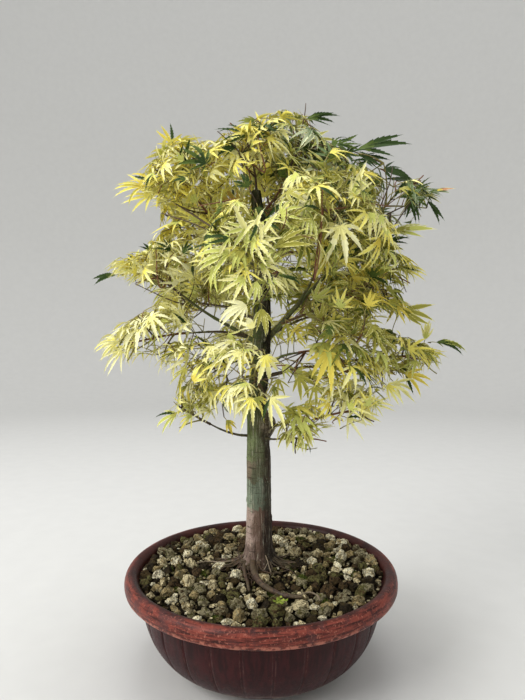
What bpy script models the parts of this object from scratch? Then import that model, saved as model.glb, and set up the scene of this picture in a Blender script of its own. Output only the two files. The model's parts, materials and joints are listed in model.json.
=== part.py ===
"""Japanese maple bonsai in a round glazed bowl.

Metres, +Z up. The bowl stands on its flat underside at the origin, and the tree is seen
from -Y. The trunk, the boughs, the surface roots and the masses of foliage are separate
solids that lie a hair apart where they meet.
"""

import math
import random
from collections import namedtuple

import bmesh
import bpy
import numpy as np
from mathutils import Matrix, Vector, noise

# Gap between solids that meet
GAP = 0.0003
UP = Vector((0, 0, 1))

# Bowl
POT_HEIGHT = 0.088
RIM_RADIUS = 0.130
RIM_WIDTH = 0.013
RIM_DEPTH = 0.016
BOWL_TOP_RADIUS = 0.115
BOWL_FOOT_RADIUS = 0.066
FOOT_RADIUS = 0.062
FOOT_HEIGHT = 0.005
WALL = 0.0065
BOWL_ROUNDNESS = 2.1
FLUTES = 28
FLUTE_DEPTH = 0.0007
POT_SIDES = 2 * FLUTES

# Soil
GROUND = 0.0865
SOIL_EDGE = 0.0825
SOIL_RADIUS = RIM_RADIUS - RIM_WIDTH - 0.0006
SOIL_RINGS = 4
SOIL_SIDES = 28
SWELL_HEIGHT = 0.0014
SWELL_SIZE = 0.030
SWELL_FADE = 6

# Stones: the photograph's largest ones with place and radius, then the radius, the tries and
# how far they may sink for those that fill the bed
LARGE_STONES = ((0.056, -0.016, 0.0085), (0.049, -0.038, 0.0075), (0.086, -0.058, 0.0080),
                (-0.020, -0.086, 0.0066), (0.012, -0.094, 0.0068), (-0.066, -0.040, 0.0066),
                (0.060, 0.040, 0.0078), (-0.050, 0.058, 0.0072), (0.002, 0.080, 0.0078))
STONE_RADIUS = 0.0062
STONE_SIZES = (0.84, 1.18)
STONE_TRIES = 400
STONE_SINK = 0.10
STONES_APART = 0.92
STONE_CLEARANCE = 0.0020
STONE_SIDES = 6
STONE_TILT = 0.5
# Bare soil between the roots, where no large stone lies: centre and half sizes
BARE_SPOTS = ((0.022, -0.028, 0.017, 0.019), (-0.024, -0.018, 0.010, 0.012),
              (0.022, 0.004, 0.010, 0.012), (-0.004, -0.052, 0.014, 0.010))

# Trunk: height, centre x, centre y, radius
TRUNK_STATIONS = (
    (GROUND, -0.0027, 0.0, 0.0135),
    (0.104, -0.0023, 0.0, 0.0124),
    (0.178, -0.0025, 0.0, 0.0117),
    (0.222, -0.0033, 0.0, 0.0106),
    (0.241, -0.0046, 0.0, 0.0096),
    (0.285, -0.0008, 0.0, 0.0093),
    (0.316, 0.0010, 0.0, 0.0087),
    (0.370, 0.0002, 0.002, 0.0078),
    (0.420, -0.0022, 0.003, 0.0066),
    (0.452, -0.0050, 0.002, 0.0050),
)
TRUNK_SIDES = 14
TRUNK_RINGS = 18
FLARE_RADIUS = 0.008
FLARE_HEIGHT = 0.009
FLARE_LOBES = 5
COLLAR_HEIGHT = 0.223
COLLAR_SIZE = 0.0065
COLLAR_SPREAD = 0.011

# Surface roots: points on the ground, then the radius at each end
ROOTS = {
    "surface_root_front": (
        ((-0.007, -0.006), (-0.0080, -0.018), (-0.0045, -0.038), (0.0015, -0.054),
         (0.0110, -0.0655), (0.0220, -0.0730), (0.0350, -0.0750)),
        0.0034, 0.0014),
    "surface_root_front_left": (
        ((-0.010, -0.004), (-0.0160, -0.013), (-0.0150, -0.030), (-0.0125, -0.044),
         (-0.0105, -0.062)),
        0.0023, 0.0011),
    "surface_root_left": (
        ((-0.010, 0.000), (-0.0200, -0.0040), (-0.0280, -0.0070), (-0.0370, -0.0130)),
        0.0024, 0.0011),
}

# Foliage masses: centre, half sizes, share of leaves against a full mass, droop of its leaves
Mass = namedtuple("Mass", "centre radii fullness droop")
MASSES = {
    "foliage_upper_left": Mass((-0.069, -0.015, 0.449), (0.058, 0.052, 0.047), 1.1, 0.5),
    "foliage_top_left": Mass((-0.013, -0.012, 0.490), (0.045, 0.050, 0.042), 1.0, 0.3),
    "foliage_top_right": Mass((0.046, -0.004, 0.487), (0.047, 0.050, 0.043), 1.0, 0.3),
    "foliage_right_high": Mass((0.128, 0.000, 0.444), (0.060, 0.048, 0.046), 0.8, 0.3),
    "foliage_right_front": Mass((0.064, -0.060, 0.410), (0.050, 0.045, 0.046), 1.0, 0.6),
    "foliage_front_centre": Mass((-0.005, -0.088, 0.370), (0.052, 0.045, 0.046), 1.0, 0.7),
    "foliage_right_mid": Mass((0.106, -0.015, 0.362), (0.058, 0.050, 0.040), 1.0, 0.6),
    "foliage_left_mid": Mass((-0.106, -0.008, 0.369), (0.060, 0.046, 0.029), 0.8, 0.4),
    "foliage_left_low": Mass((-0.104, -0.045, 0.304), (0.053, 0.043, 0.036), 1.0, 0.9),
    "foliage_left_inner": Mass((-0.050, -0.048, 0.276), (0.040, 0.040, 0.038), 1.0, 0.9),
    "foliage_front_low": Mass((-0.005, -0.078, 0.270), (0.038, 0.038, 0.040), 1.0, 0.9),
    "foliage_right_low": Mass((0.076, -0.032, 0.295), (0.054, 0.047, 0.042), 1.0, 0.7),
    "foliage_right_far": Mass((0.150, 0.006, 0.290), (0.056, 0.044, 0.034), 0.8, 0.6),
    "foliage_right_lowest": Mass((0.082, -0.035, 0.240), (0.045, 0.038, 0.030), 0.9, 0.8),
    "foliage_low_spray": Mass((0.036, -0.042, 0.216), (0.034, 0.033, 0.029), 0.9, 0.9),
    "foliage_left_lowest": Mass((-0.070, -0.020, 0.238), (0.036, 0.033, 0.025), 0.9, 0.7),
    "foliage_back_top": Mass((0.015, 0.075, 0.462), (0.058, 0.048, 0.052), 1.0, 0.4),
    "foliage_back_left_high": Mass((-0.075, 0.070, 0.422), (0.056, 0.048, 0.048), 1.0, 0.6),
    "foliage_back_right_high": Mass((0.092, 0.075, 0.422), (0.056, 0.048, 0.048), 1.0, 0.6),
    "foliage_back_centre": Mass((0.008, 0.118, 0.385), (0.054, 0.048, 0.048), 1.0, 0.6),
    "foliage_back_left_mid": Mass((-0.075, 0.085, 0.350), (0.054, 0.046, 0.041), 0.9, 0.8),
    "foliage_back_right_mid": Mass((0.085, 0.088, 0.340), (0.054, 0.046, 0.044), 0.9, 0.8),
    "foliage_back_low": Mass((-0.020, 0.085, 0.296), (0.045, 0.040, 0.037), 0.9, 0.9),
}

# Boughs: the mass that each carries, its parent, the height it leaves the trunk at or the
# share along its parent bough, its radius there, and how far it bows upwards
Bough = namedtuple("Bough", "mass parent place radius bow")
BOUGHS = {
    "bough_left_lowest": Bough("foliage_left_lowest", "trunk", 0.211, 0.0021, -0.008),
    "bough_low_spray": Bough("foliage_low_spray", "trunk", 0.209, 0.0018, -0.001),
    "bough_right_lowest": Bough("foliage_right_lowest", "trunk", 0.220, 0.0021, -0.003),
    "bough_front_low": Bough("foliage_front_low", "trunk", 0.262, 0.0022, 0.012),
    "bough_left_inner": Bough("foliage_left_inner", "trunk", 0.278, 0.0020, 0.010),
    "bough_back_low": Bough("foliage_back_low", "trunk", 0.268, 0.0022, 0.006),
    "bough_right_low": Bough("foliage_right_low", "trunk", 0.281, 0.0027, 0.008),
    "bough_right_far": Bough("foliage_right_far", "trunk", 0.268, 0.0025, 0.006),
    "bough_left_mid": Bough("foliage_left_mid", "trunk", 0.300, 0.0030, -0.002),
    "bough_left_low": Bough("foliage_left_low", "bough_left_mid", 0.20, 0.0021, 0.008),
    "bough_right_high": Bough("foliage_right_high", "trunk", 0.300, 0.0036, -0.002),
    "bough_right_mid": Bough("foliage_right_mid", "bough_right_high", 0.20, 0.0021, -0.004),
    "bough_right_front": Bough("foliage_right_front", "bough_right_high", 0.38, 0.0021, -0.004),
    "bough_front_centre": Bough("foliage_front_centre", "trunk", 0.322, 0.0028, 0.004),
    "bough_back_right_mid": Bough("foliage_back_right_mid", "trunk", 0.306, 0.0028, 0.006),
    "bough_back_left_mid": Bough("foliage_back_left_mid", "trunk", 0.322, 0.0027, 0.006),
    "bough_back_centre": Bough("foliage_back_centre", "trunk", 0.345, 0.0028, 0.004),
    "bough_upper_left": Bough("foliage_upper_left", "trunk", 0.372, 0.0028, -0.004),
    "bough_back_left_high": Bough("foliage_back_left_high", "trunk", 0.385, 0.0024, 0.002),
    "bough_back_right_high": Bough("foliage_back_right_high", "trunk", 0.378, 0.0024, 0.002),
    "bough_top_right": Bough("foliage_top_right", "trunk", 0.424, 0.0024, 0.000),
    "bough_back_top": Bough("foliage_back_top", "trunk", 0.408, 0.0024, 0.002),
}
BOUGH_POINTS = 6
BOUGH_TIP_SHARE = 0.60
BOUGH_LEAST_RADIUS = 0.0013
BOUGH_CROOK = 0.0012
MASS_ENTRY = 0.84

# Twigs and leaves
TWIG_RADIUS = 0.0016
STEM_RADIUS = 0.0019
STEM_STEPS = (0.0, 0.5, 1.0)
STEM_FOOT = 0.003
STEM_OVERSHOOT = 0.35
TWIG_LEAST = 0.006
TWIG_REACH = 0.78
TWIG_SPREAD = 0.95
TWIG_SHARE = 0.85
STEM_NODES = (0.18, 0.52, 0.86)
TWIG_LEAF_SHARES = (0.9, 0.4)
LEAF_COUNT = 238
LEAF_LENGTH = 0.040
LEAF_THICKNESS = 0.0012
LEAF_TRIES = 60
LEAF_APART = 0.0030
LOBE_SAMPLES = (0.25, 0.5, 0.75, 1.0)
PETIOLE_SHARE = 0.50
PETIOLE_TAPER = 0.26
LEAST_BEND = 0.62
LOBES = ((-108, 0.62), (-51, 0.92), (0, 1.0), (51, 0.92), (108, 0.62))
SINUS_SHARE = 0.33
HEEL_ANGLE = 155
HEEL_SHARE = 0.11
TIP_DROP = 0.16
CELL_MARGIN = 0.055
LIMB_CLEARANCE = 0.0014

COLOURS = {
    "bark": ((0.20, 0.22, 0.13), 0.75),
    "leaf": ((0.72, 0.68, 0.24), 0.55),
    "leaf_green": ((0.28, 0.34, 0.10), 0.50),
    "glaze": ((0.16, 0.045, 0.035), 0.35),
    "gravel": ((0.42, 0.38, 0.27), 0.95),
}
GREEN_MASSES = ("foliage_top_right", "foliage_right_high")


# Scene and materials

def clear_scene():
    for obj in list(bpy.data.objects):
        bpy.data.objects.remove(obj, do_unlink=True)


def new_collection(name):
    made = bpy.data.collections.new(name)
    bpy.context.scene.collection.children.link(made)
    return made


def new_material(name):
    colour, roughness = COLOURS[name]
    made = bpy.data.materials.new(name)
    made.use_nodes = True
    shader = made.node_tree.nodes["Principled BSDF"]
    shader.inputs["Base Color"].default_value = (*colour, 1.0)
    shader.inputs["Roughness"].default_value = roughness
    shader.inputs["Metallic"].default_value = 0.0
    made.diffuse_color = (*colour, 1.0)
    return made


def add_object(name, mesh, collection, material):
    obj = bpy.data.objects.new(name, mesh)
    mesh.materials.clear()
    mesh.materials.append(material)
    collection.objects.link(obj)
    return obj


# Mesh helpers

def mesh_from(build):
    """A mesh filled in by build(bm), with its faces pointing out."""
    bm = bmesh.new()
    build(bm)
    bmesh.ops.recalc_face_normals(bm, faces=bm.faces)
    mesh = bpy.data.meshes.new("shape")
    bm.to_mesh(mesh)
    bm.free()
    return mesh


def evaluated_mesh(obj):
    """The object's mesh as the viewport shows it, with no modifiers left."""
    graph = bpy.context.evaluated_depsgraph_get()
    graph.update()
    return bpy.data.meshes.new_from_object(obj.evaluated_get(graph))


def largest_body(mesh):
    """Keeps the largest closed body: loose scraps and the skins of sealed hollows go."""
    bm = bmesh.new()
    bm.from_mesh(mesh)
    bmesh.ops.dissolve_limit(bm, angle_limit=math.radians(0.05), verts=bm.verts, edges=bm.edges)
    bmesh.ops.triangulate(bm, faces=bm.faces)
    left = set(bm.faces)
    bodies = []
    while left:
        found, front = set(), [left.pop()]
        while front:
            face = front.pop()
            found.add(face)
            for edge in face.edges:
                for other in edge.link_faces:
                    if other in left and len(edge.link_faces) == 2:
                        left.discard(other)
                        front.append(other)
        bodies.append(found)
    bodies.sort(key=len)
    scraps = [face for body in bodies[:-1] for face in body]
    bmesh.ops.delete(bm, geom=scraps, context="FACES")
    bm.to_mesh(mesh)
    bm.free()
    return mesh


def apply_boolean(obj, operation, other=None, collection=None):
    """Joins or cuts obj at once, and leaves the modifier off."""
    modifier = obj.modifiers.new("join", "BOOLEAN")
    modifier.operation = operation
    modifier.solver = "EXACT"
    if collection:
        modifier.operand_type = "COLLECTION"
        modifier.collection = collection
    else:
        modifier.object = other
    made = largest_body(evaluated_mesh(obj))
    obj.modifiers.clear()
    obj.data = made


def tube_mesh(points, radii, resolution):
    """A closed tube along the points, from a bevelled curve with filled caps."""
    curve = bpy.data.curves.new("tube", "CURVE")
    curve.dimensions = "3D"
    curve.bevel_depth = 1.0
    curve.bevel_resolution = resolution
    curve.use_fill_caps = True
    spline = curve.splines.new("POLY")
    spline.points.add(len(points) - 1)
    for place, point, radius in zip(spline.points, points, radii):
        place.co = (*point, 1.0)
        place.radius = radius
    obj = bpy.data.objects.new("tube", curve)
    bpy.context.scene.collection.objects.link(obj)
    mesh = evaluated_mesh(obj)
    bpy.data.objects.remove(obj)
    bm = bmesh.new()
    bm.from_mesh(mesh)
    bmesh.ops.remove_doubles(bm, verts=bm.verts, dist=1e-5)
    bmesh.ops.recalc_face_normals(bm, faces=bm.faces)
    bm.to_mesh(mesh)
    bm.free()
    return mesh


def mix(a, b, t):
    return a + (b - a) * t


# Bowl and soil

def bowl_radius(z, low, high, foot, top):
    """Radius of a rounded bowl at height z, from foot at low to top at high."""
    share = min(1.0, max(0.0, (high - z) / (high - low)))
    return foot + (top - foot) * (1 - share**BOWL_ROUNDNESS) ** (1 / BOWL_ROUNDNESS)


def bowl_rows(low, high, foot, top, count):
    """Radius and height down the bowl's wall, closer together where it turns under."""
    rows = []
    for i in range(count):
        z = low + (high - low) * math.cos(0.5 * math.pi * i / (count - 1))
        rows.append((bowl_radius(z, low, high, foot, top), z))
    return rows


BOWL_SHOULDER = POT_HEIGHT - RIM_DEPTH + 0.002
INNER_FLOOR = FOOT_HEIGHT + WALL
INNER_ROWS = bowl_rows(
    INNER_FLOOR, BOWL_SHOULDER, BOWL_FOOT_RADIUS - 2 * WALL, BOWL_TOP_RADIUS - WALL, 4)
OUTER_ROWS = bowl_rows(FOOT_HEIGHT, BOWL_SHOULDER, BOWL_FOOT_RADIUS, BOWL_TOP_RADIUS, 6)


def rim_rows():
    """The rolled rim, from its inner edge over the top to its underside. The inner wall
    flares out to it."""
    centre = RIM_RADIUS - RIM_WIDTH / 2
    rows = []
    for degrees in (180, 110, 50, -10, -80):
        a = math.radians(degrees)
        rows.append((centre + RIM_WIDTH / 2 * math.cos(a),
                     POT_HEIGHT - RIM_DEPTH / 2 * (1 - math.sin(a))))
    return rows


def make_pot(collection, material):
    """A turned bowl, whose wall is pressed in along each flute."""
    profile = [(0.0, INNER_FLOOR)] + INNER_ROWS[::-1] + rim_rows() + OUTER_ROWS
    profile += [(FOOT_RADIUS, FOOT_HEIGHT), (FOOT_RADIUS, 0.0), (0.0, 0.0)]
    mesh = bpy.data.meshes.new("pot_profile")
    mesh.from_pydata([(r, 0, z) for r, z in profile],
                     [(i, i + 1) for i in range(len(profile) - 1)], [])
    turned = bpy.data.objects.new("pot_profile", mesh)
    bpy.context.scene.collection.objects.link(turned)
    screw = turned.modifiers.new("turn", "SCREW")
    screw.steps = screw.render_steps = POT_SIDES
    screw.use_merge_vertices = True
    screw.merge_threshold = 0.0001
    made = evaluated_mesh(turned)
    bpy.data.objects.remove(turned)
    outer = {round(z, 5): r for r, z in OUTER_ROWS[1:-1]}
    for vert in made.vertices:
        radius = math.hypot(vert.co.x, vert.co.y)
        wall = outer.get(round(vert.co.z, 5))
        if wall is None or abs(radius - wall) > 1e-5:
            continue
        step = round(math.atan2(vert.co.y, vert.co.x) / math.tau * POT_SIDES)
        if step % 2:
            vert.co *= Vector((1 - FLUTE_DEPTH / radius, 1 - FLUTE_DEPTH / radius, 1))
    made.shade_smooth()
    made.set_sharp_from_angle(angle=math.radians(40))
    add_object("pot", made, collection, material)


def near_root(x, y):
    """Distance from a point on the ground to the nearest root or to the trunk's foot."""
    foot = TRUNK_STATIONS[0]
    best = math.hypot(x - foot[1], y - foot[2]) - foot[3] - FLARE_RADIUS
    spot = Vector((x, y))
    for points, start, end in ROOTS.values():
        for a, b in zip(points, points[1:]):
            a, b = Vector(a), Vector(b)
            t = max(0.0, min(1.0, (spot - a).dot(b - a) / (b - a).length_squared))
            best = min(best, (spot - a.lerp(b, t)).length - mix(start, end, 0.5))
    return best


def ground_level(x, y):
    """The gravel's surface, which swells a little and falls towards the bowl's edge."""
    share = min(1.0, math.hypot(x, y) / SOIL_RADIUS)
    swell = SWELL_HEIGHT * noise.noise(Vector((x, y, 0.0)) / SWELL_SIZE)
    return mix(GROUND, SOIL_EDGE, share**2.5) + swell * min(1.0, (1 - share) * SWELL_FADE)


def soil_height(x, y):
    """The gravel's surface, level where the trunk and the roots lie on it."""
    level = ground_level(x, y)
    clear_of_roots = min(level, GROUND - GAP)
    room = min(1.0, max(0.0, (near_root(x, y) - 0.010) / 0.012))
    return mix(clear_of_roots, level, room)


def on_bare_soil(x, y):
    return any(math.hypot((x - u) / a, (y - v) / b) < 1 for u, v, a, b in BARE_SPOTS)


def lay_stones():
    """Place and size of the larger stones, each where the ones before leave room."""
    rng = random.Random("gravel")
    stones = [(x, y, ground_level(x, y), size) for x, y, size in LARGE_STONES]
    for _ in range(STONE_TRIES):
        a = rng.uniform(0, math.tau)
        far = SOIL_RADIUS * math.sqrt(rng.random())
        size = STONE_RADIUS * rng.uniform(*STONE_SIZES)
        x, y = far * math.cos(a), far * math.sin(a)
        if far + size * 0.75 > SOIL_RADIUS or near_root(x, y) < size * 0.45 or on_bare_soil(x, y):
            continue
        if all(math.hypot(x - u, y - v) >= STONES_APART * (size + s) for u, v, _, s in stones):
            sink = STONE_SINK * rng.uniform(-0.4, 1.6)
            stones.append((x, y, ground_level(x, y) - sink * size, size))
    return stones


def stone_mesh(place, size, rng):
    """A stone of a few facets, turned and tipped at random."""
    turn = (Matrix.Rotation(rng.uniform(-STONE_TILT, STONE_TILT), 4, "X")
            @ Matrix.Rotation(rng.uniform(-STONE_TILT, STONE_TILT), 4, "Y")
            @ Matrix.Rotation(rng.uniform(0, math.tau), 4, "Z"))
    scale = Matrix.Diagonal((size * 1.08, size * rng.uniform(0.85, 1.08), size * 0.95, 1))

    def build(bm):
        bmesh.ops.create_uvsphere(
            bm, u_segments=STONE_SIDES, v_segments=3, radius=1.0,
            matrix=Matrix.Translation(place) @ turn @ scale)

    return mesh_from(build)


def make_soil(collection, material):
    """The gravel that fills the bowl, with its larger stones standing out."""
    wall = [(r - 2 * GAP, z + GAP) for r, z in [rim_rows()[0]] + INNER_ROWS]
    top_radius = wall[0][0] + 0.0004

    def build(bm):
        rings = []
        for k in range(1, SOIL_RINGS + 1):
            radius = top_radius * (k / SOIL_RINGS) ** 0.85
            ring = []
            for i in range(SOIL_SIDES):
                a = math.tau * i / SOIL_SIDES
                x, y = radius * math.cos(a), radius * math.sin(a)
                ring.append(bm.verts.new((x, y, soil_height(x, y))))
            rings.append(ring)
        for radius, z in wall:
            rings.append([
                bm.verts.new((radius * math.cos(math.tau * i / SOIL_SIDES),
                              radius * math.sin(math.tau * i / SOIL_SIDES), z))
                for i in range(SOIL_SIDES)])
        centre = bm.verts.new((0, 0, soil_height(0, 0)))
        bottom = bm.verts.new((0, 0, wall[-1][1]))
        for i in range(SOIL_SIDES):
            j = (i + 1) % SOIL_SIDES
            bm.faces.new((centre, rings[0][i], rings[0][j]))
            bm.faces.new((bottom, rings[-1][j], rings[-1][i]))
            for inner, outer in zip(rings, rings[1:]):
                bm.faces.new((inner[i], outer[i], outer[j], inner[j]))

    soil = add_object("soil", mesh_from(build), collection, material)
    rng = random.Random("stone shapes")
    stones = new_collection("stones")
    for x, y, z, size in lay_stones():
        beside_root = near_root(x, y) < size + STONE_CLEARANCE
        if not beside_root and math.hypot(x, y) + size < SOIL_RADIUS:
            add_object("stone", stone_mesh(Vector((x, y, z)), size, rng), stones, material)
    apply_boolean(soil, "UNION", collection=stones)
    for stone in list(stones.objects):
        bpy.data.objects.remove(stone)
    bpy.data.collections.remove(stones)


# Trunk, roots and boughs

def trunk_at(z):
    """Centre and radius of the trunk at a height, on a smooth curve through its stations."""
    rows = TRUNK_STATIONS
    z = min(max(z, rows[0][0]), rows[-1][0])
    i = max(k for k in range(len(rows) - 1) if rows[k][0] <= z + 1e-9)
    t = (z - rows[i][0]) / (rows[i + 1][0] - rows[i][0])
    t = t * t * (3 - 2 * t)
    x, y, radius = (mix(rows[i][c], rows[i + 1][c], t) for c in (1, 2, 3))
    return Vector((x, y, z)), radius


def trunk_radius(z, angle):
    """The trunk's radius in one direction: root flare at its foot, and the branch collar."""
    _, radius = trunk_at(z)
    flare = FLARE_RADIUS * math.exp(-(z - GROUND) / FLARE_HEIGHT)
    radius += flare * (0.8 + 0.35 * math.sin(FLARE_LOBES * angle + 0.9))
    side = math.cos(angle)
    if side > 0:
        rise = (z - COLLAR_HEIGHT) / COLLAR_SPREAD
        radius += COLLAR_SIZE * side**2 * math.exp(-rise * rise)
    return radius


def trunk_mesh(extra=0.0):
    """The trunk as a loft of rings, from its flat foot to its tip."""
    top = TRUNK_STATIONS[-1][0]
    heights = [mix(GROUND, top, (k / (TRUNK_RINGS - 1)) ** 1.25) for k in range(TRUNK_RINGS)]
    low = GROUND + (0.0 if extra else GAP)

    def build(bm):
        rings = []
        for k, z in enumerate(heights):
            centre, _ = trunk_at(z)
            centre.z = low if k == 0 else z
            ring = []
            for i in range(TRUNK_SIDES):
                a = math.tau * i / TRUNK_SIDES
                radius = trunk_radius(z, a) + extra
                ring.append(bm.verts.new(
                    centre + radius * Vector((math.cos(a), math.sin(a), 0))))
            rings.append(ring)
        for lower, upper in zip(rings, rings[1:]):
            for i in range(TRUNK_SIDES):
                j = (i + 1) % TRUNK_SIDES
                bm.faces.new((lower[i], lower[j], upper[j], upper[i]))
        bm.faces.new(rings[0][::-1])
        bm.faces.new(rings[-1])

    return mesh_from(build)


def root_points(points, start, end):
    """A root's line on the ground, rising into the trunk's flare at its start."""
    line, radii = [], []
    for k, (x, y) in enumerate(points):
        radius = mix(start, end, k / (len(points) - 1))
        rise = 0.0045 if k == 0 else 0.0015 if k == 1 else 0.0
        line.append(Vector((x, y, GROUND + GAP + radius + rise)))
        radii.append(radius)
    return line, radii


def bezier(a, b, c, d, t):
    s = 1 - t
    return a * s**3 + b * (3 * s * s * t) + c * (3 * s * t * t) + d * t**3


def share_out(mass, point):
    """0 at the middle of a mass's space and 1 at its edge."""
    return math.sqrt(sum(((point[k] - mass.centre[k]) / mass.radii[k]) ** 2 for k in range(3)))


def bough_line(name, lines):
    """A bough's points and radii, from inside its parent to where it enters its mass."""
    bough = BOUGHS[name]
    mass = MASSES[bough.mass]
    if bough.parent == "trunk":
        start = trunk_at(bough.place)[0]
    else:
        points = lines[bough.parent][0]
        along = bough.place * (len(points) - 1)
        k = int(along)
        start = points[k].lerp(points[k + 1], along - k)
    goal = Vector(mass.centre)
    span = goal - start
    bow = UP * bough.bow
    controls = (start, start + span * 0.33 + bow, start + span * 0.7 + bow * 0.8, goal)
    end = next(t / 100 for t in range(101)
               if share_out(mass, bezier(*controls, t / 100)) < MASS_ENTRY)
    rng = random.Random(name)
    tip = max(BOUGH_LEAST_RADIUS, bough.radius * BOUGH_TIP_SHARE)
    line, radii = [], []
    for k in range(BOUGH_POINTS):
        share = k / (BOUGH_POINTS - 1)
        point = bezier(*controls, end * share)
        if 1 < k < BOUGH_POINTS - 1:
            point += Vector([rng.uniform(-1, 1) * BOUGH_CROOK for _ in range(3)])
        line.append(point)
        radii.append(mix(bough.radius, tip, share))
    return line, radii


def all_bough_lines():
    lines = {}
    for name in sorted(BOUGHS, key=lambda n: BOUGHS[n].parent != "trunk"):
        lines[name] = bough_line(name, lines)
    return lines


def make_limbs(collection, material, lines):
    """The trunk, then what springs from it, each cut a hair clear of its parent."""
    trunk = add_object("trunk", trunk_mesh(), collection, material)
    trunk.data.shade_smooth()
    cutters = {"trunk": bpy.data.objects.new("trunk_cutter", trunk_mesh(extra=GAP))}
    limbs = {name: (*root_points(*ROOTS[name]), "trunk") for name in ROOTS}
    for name in lines:
        limbs[name] = (*lines[name], BOUGHS[name].parent)
    for name, (points, radii, parent) in limbs.items():
        if parent not in cutters:
            around, sizes = lines[parent]
            cutters[parent] = bpy.data.objects.new(
                parent + "_cutter", tube_mesh(around, [r + GAP for r in sizes], 1))
        cutter = cutters[parent]
        bpy.context.scene.collection.objects.link(cutter)
        limb = add_object(name, tube_mesh(points, radii, 1), collection, material)
        apply_boolean(limb, "DIFFERENCE", other=cutter)
        limb.data.shade_smooth()
        bpy.context.scene.collection.objects.unlink(cutter)
    for cutter in cutters.values():
        bpy.data.objects.remove(cutter)


# Growth of one mass

Leaf = namedtuple("Leaf", "root base along side normal length")
Twig = namedtuple("Twig", "points radii")


class Room:
    """The space that one mass keeps to: its own cell of the crown, clear of every limb."""

    def __init__(self, name, lines):
        names = list(MASSES)
        self.own = names.index(name)
        self.centres = np.array([MASSES[n].centre for n in names])
        self.radii = np.array([MASSES[n].radii for n in names])
        points, sizes = [], []
        top = TRUNK_STATIONS[-1][0]
        z = GROUND
        while z <= top:
            centre, radius = trunk_at(z)
            points.append(centre)
            sizes.append(radius + 0.001)
            z += 0.003
        for line, widths in lines.values():
            for a, b, ra, rb in zip(line, line[1:], widths, widths[1:]):
                steps = max(1, round((b - a).length / 0.003))
                for k in range(steps + 1):
                    points.append(a.lerp(b, k / steps))
                    sizes.append(mix(ra, rb, k / steps))
        self.limbs = np.array([tuple(p) for p in points])
        self.sizes = np.array(sizes)

    def holds(self, points, half_widths, most=1.0):
        """True if every point lies in the cell, and no limb comes near."""
        points = np.array([tuple(p) for p in points])
        shares = np.linalg.norm(
            (points[:, None, :] - self.centres[None]) / self.radii[None], axis=2)
        own = shares[:, self.own]
        others = np.delete(shares, self.own, axis=1).min(axis=1)
        if own.max() > most or (own + CELL_MARGIN > others).any():
            return False
        away = np.linalg.norm(points[:, None, :] - self.limbs[None], axis=2)
        room = self.sizes[None] + np.array(half_widths)[:, None] + LIMB_CLEARANCE
        return bool((away > room).all())


def across(direction, turn):
    """A unit vector square to direction, turned about it from the level."""
    level = direction.cross(UP)
    if level.length < 1e-3:
        level = Vector((1, 0, 0))
    level.normalize()
    return Matrix.Rotation(turn, 3, direction) @ level


def leaf_samples(leaf):
    """Points over the blade and the leaf stalk, with the blade's half width at each."""
    points, widths = [], []
    for degrees, size in LOBES:
        a = math.radians(degrees)
        way = leaf.along * math.cos(a) + leaf.side * math.sin(a)
        for share in LOBE_SAMPLES:
            reach = share * size * leaf.length
            points.append(leaf.base + way * reach
                          - leaf.normal * (TIP_DROP * leaf.length * size * share * share))
            widths.append(0.12 * leaf.length * (1 - share))
    for share in (0.35, 0.7):
        points.append(leaf.root.lerp(leaf.base, share))
        widths.append(0.001)
    return points, widths


def place_leaf(rng, root, way, mass, length):
    """A leaf whose stalk leaves root along way, and whose blade hangs out from the tree.
    The blade is turned so that its stalk never runs through its own side lobes."""
    stalk = (way - UP * 0.15 * mass.droop).normalized()
    base = root + stalk * length * PETIOLE_SHARE * rng.uniform(0.7, 1.6)
    out = Vector((base.x, base.y, 0)).normalized()
    along = stalk + out * 0.6 - UP * mass.droop * rng.uniform(0.6, 1.6)
    along += Vector([rng.uniform(-1, 1) for _ in range(3)]) * 0.45
    along.normalize()
    while stalk.dot(along) < LEAST_BEND:
        along = (along + stalk * 0.2).normalized()
    face = UP * 0.8 + out * 0.6 + Vector([rng.uniform(-1, 1) for _ in range(3)]) * 0.4
    side = face.cross(along).normalized()
    if abs(stalk.dot(side)) > 0.3 * stalk.dot(along):
        side = stalk.cross(along).normalized()
    return Leaf(root, base, along, side, along.cross(side), length)


def mass_start(name, lines):
    """Where a mass's stem begins, a hair past its bough's tip or the trunk's, and its way."""
    for bough, (points, _) in lines.items():
        if BOUGHS[bough].mass == name:
            heading = (points[-1] - points[-2]).normalized()
            return points[-1] + heading * GAP, heading
    return trunk_at(TRUNK_STATIONS[-1][0])[0] + UP * GAP, UP


def twig_tip(node, way, length, room):
    """The tip of a twig, drawn back until it keeps to the mass's space, or None."""
    while length > TWIG_LEAST:
        tip = node + way * length
        steps = [node.lerp(tip, share) for share in (0.5, 0.75, 1.0)]
        if room.holds(steps, [TWIG_RADIUS] * len(steps), TWIG_REACH):
            return tip
        length *= 0.8
    return None


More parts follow.
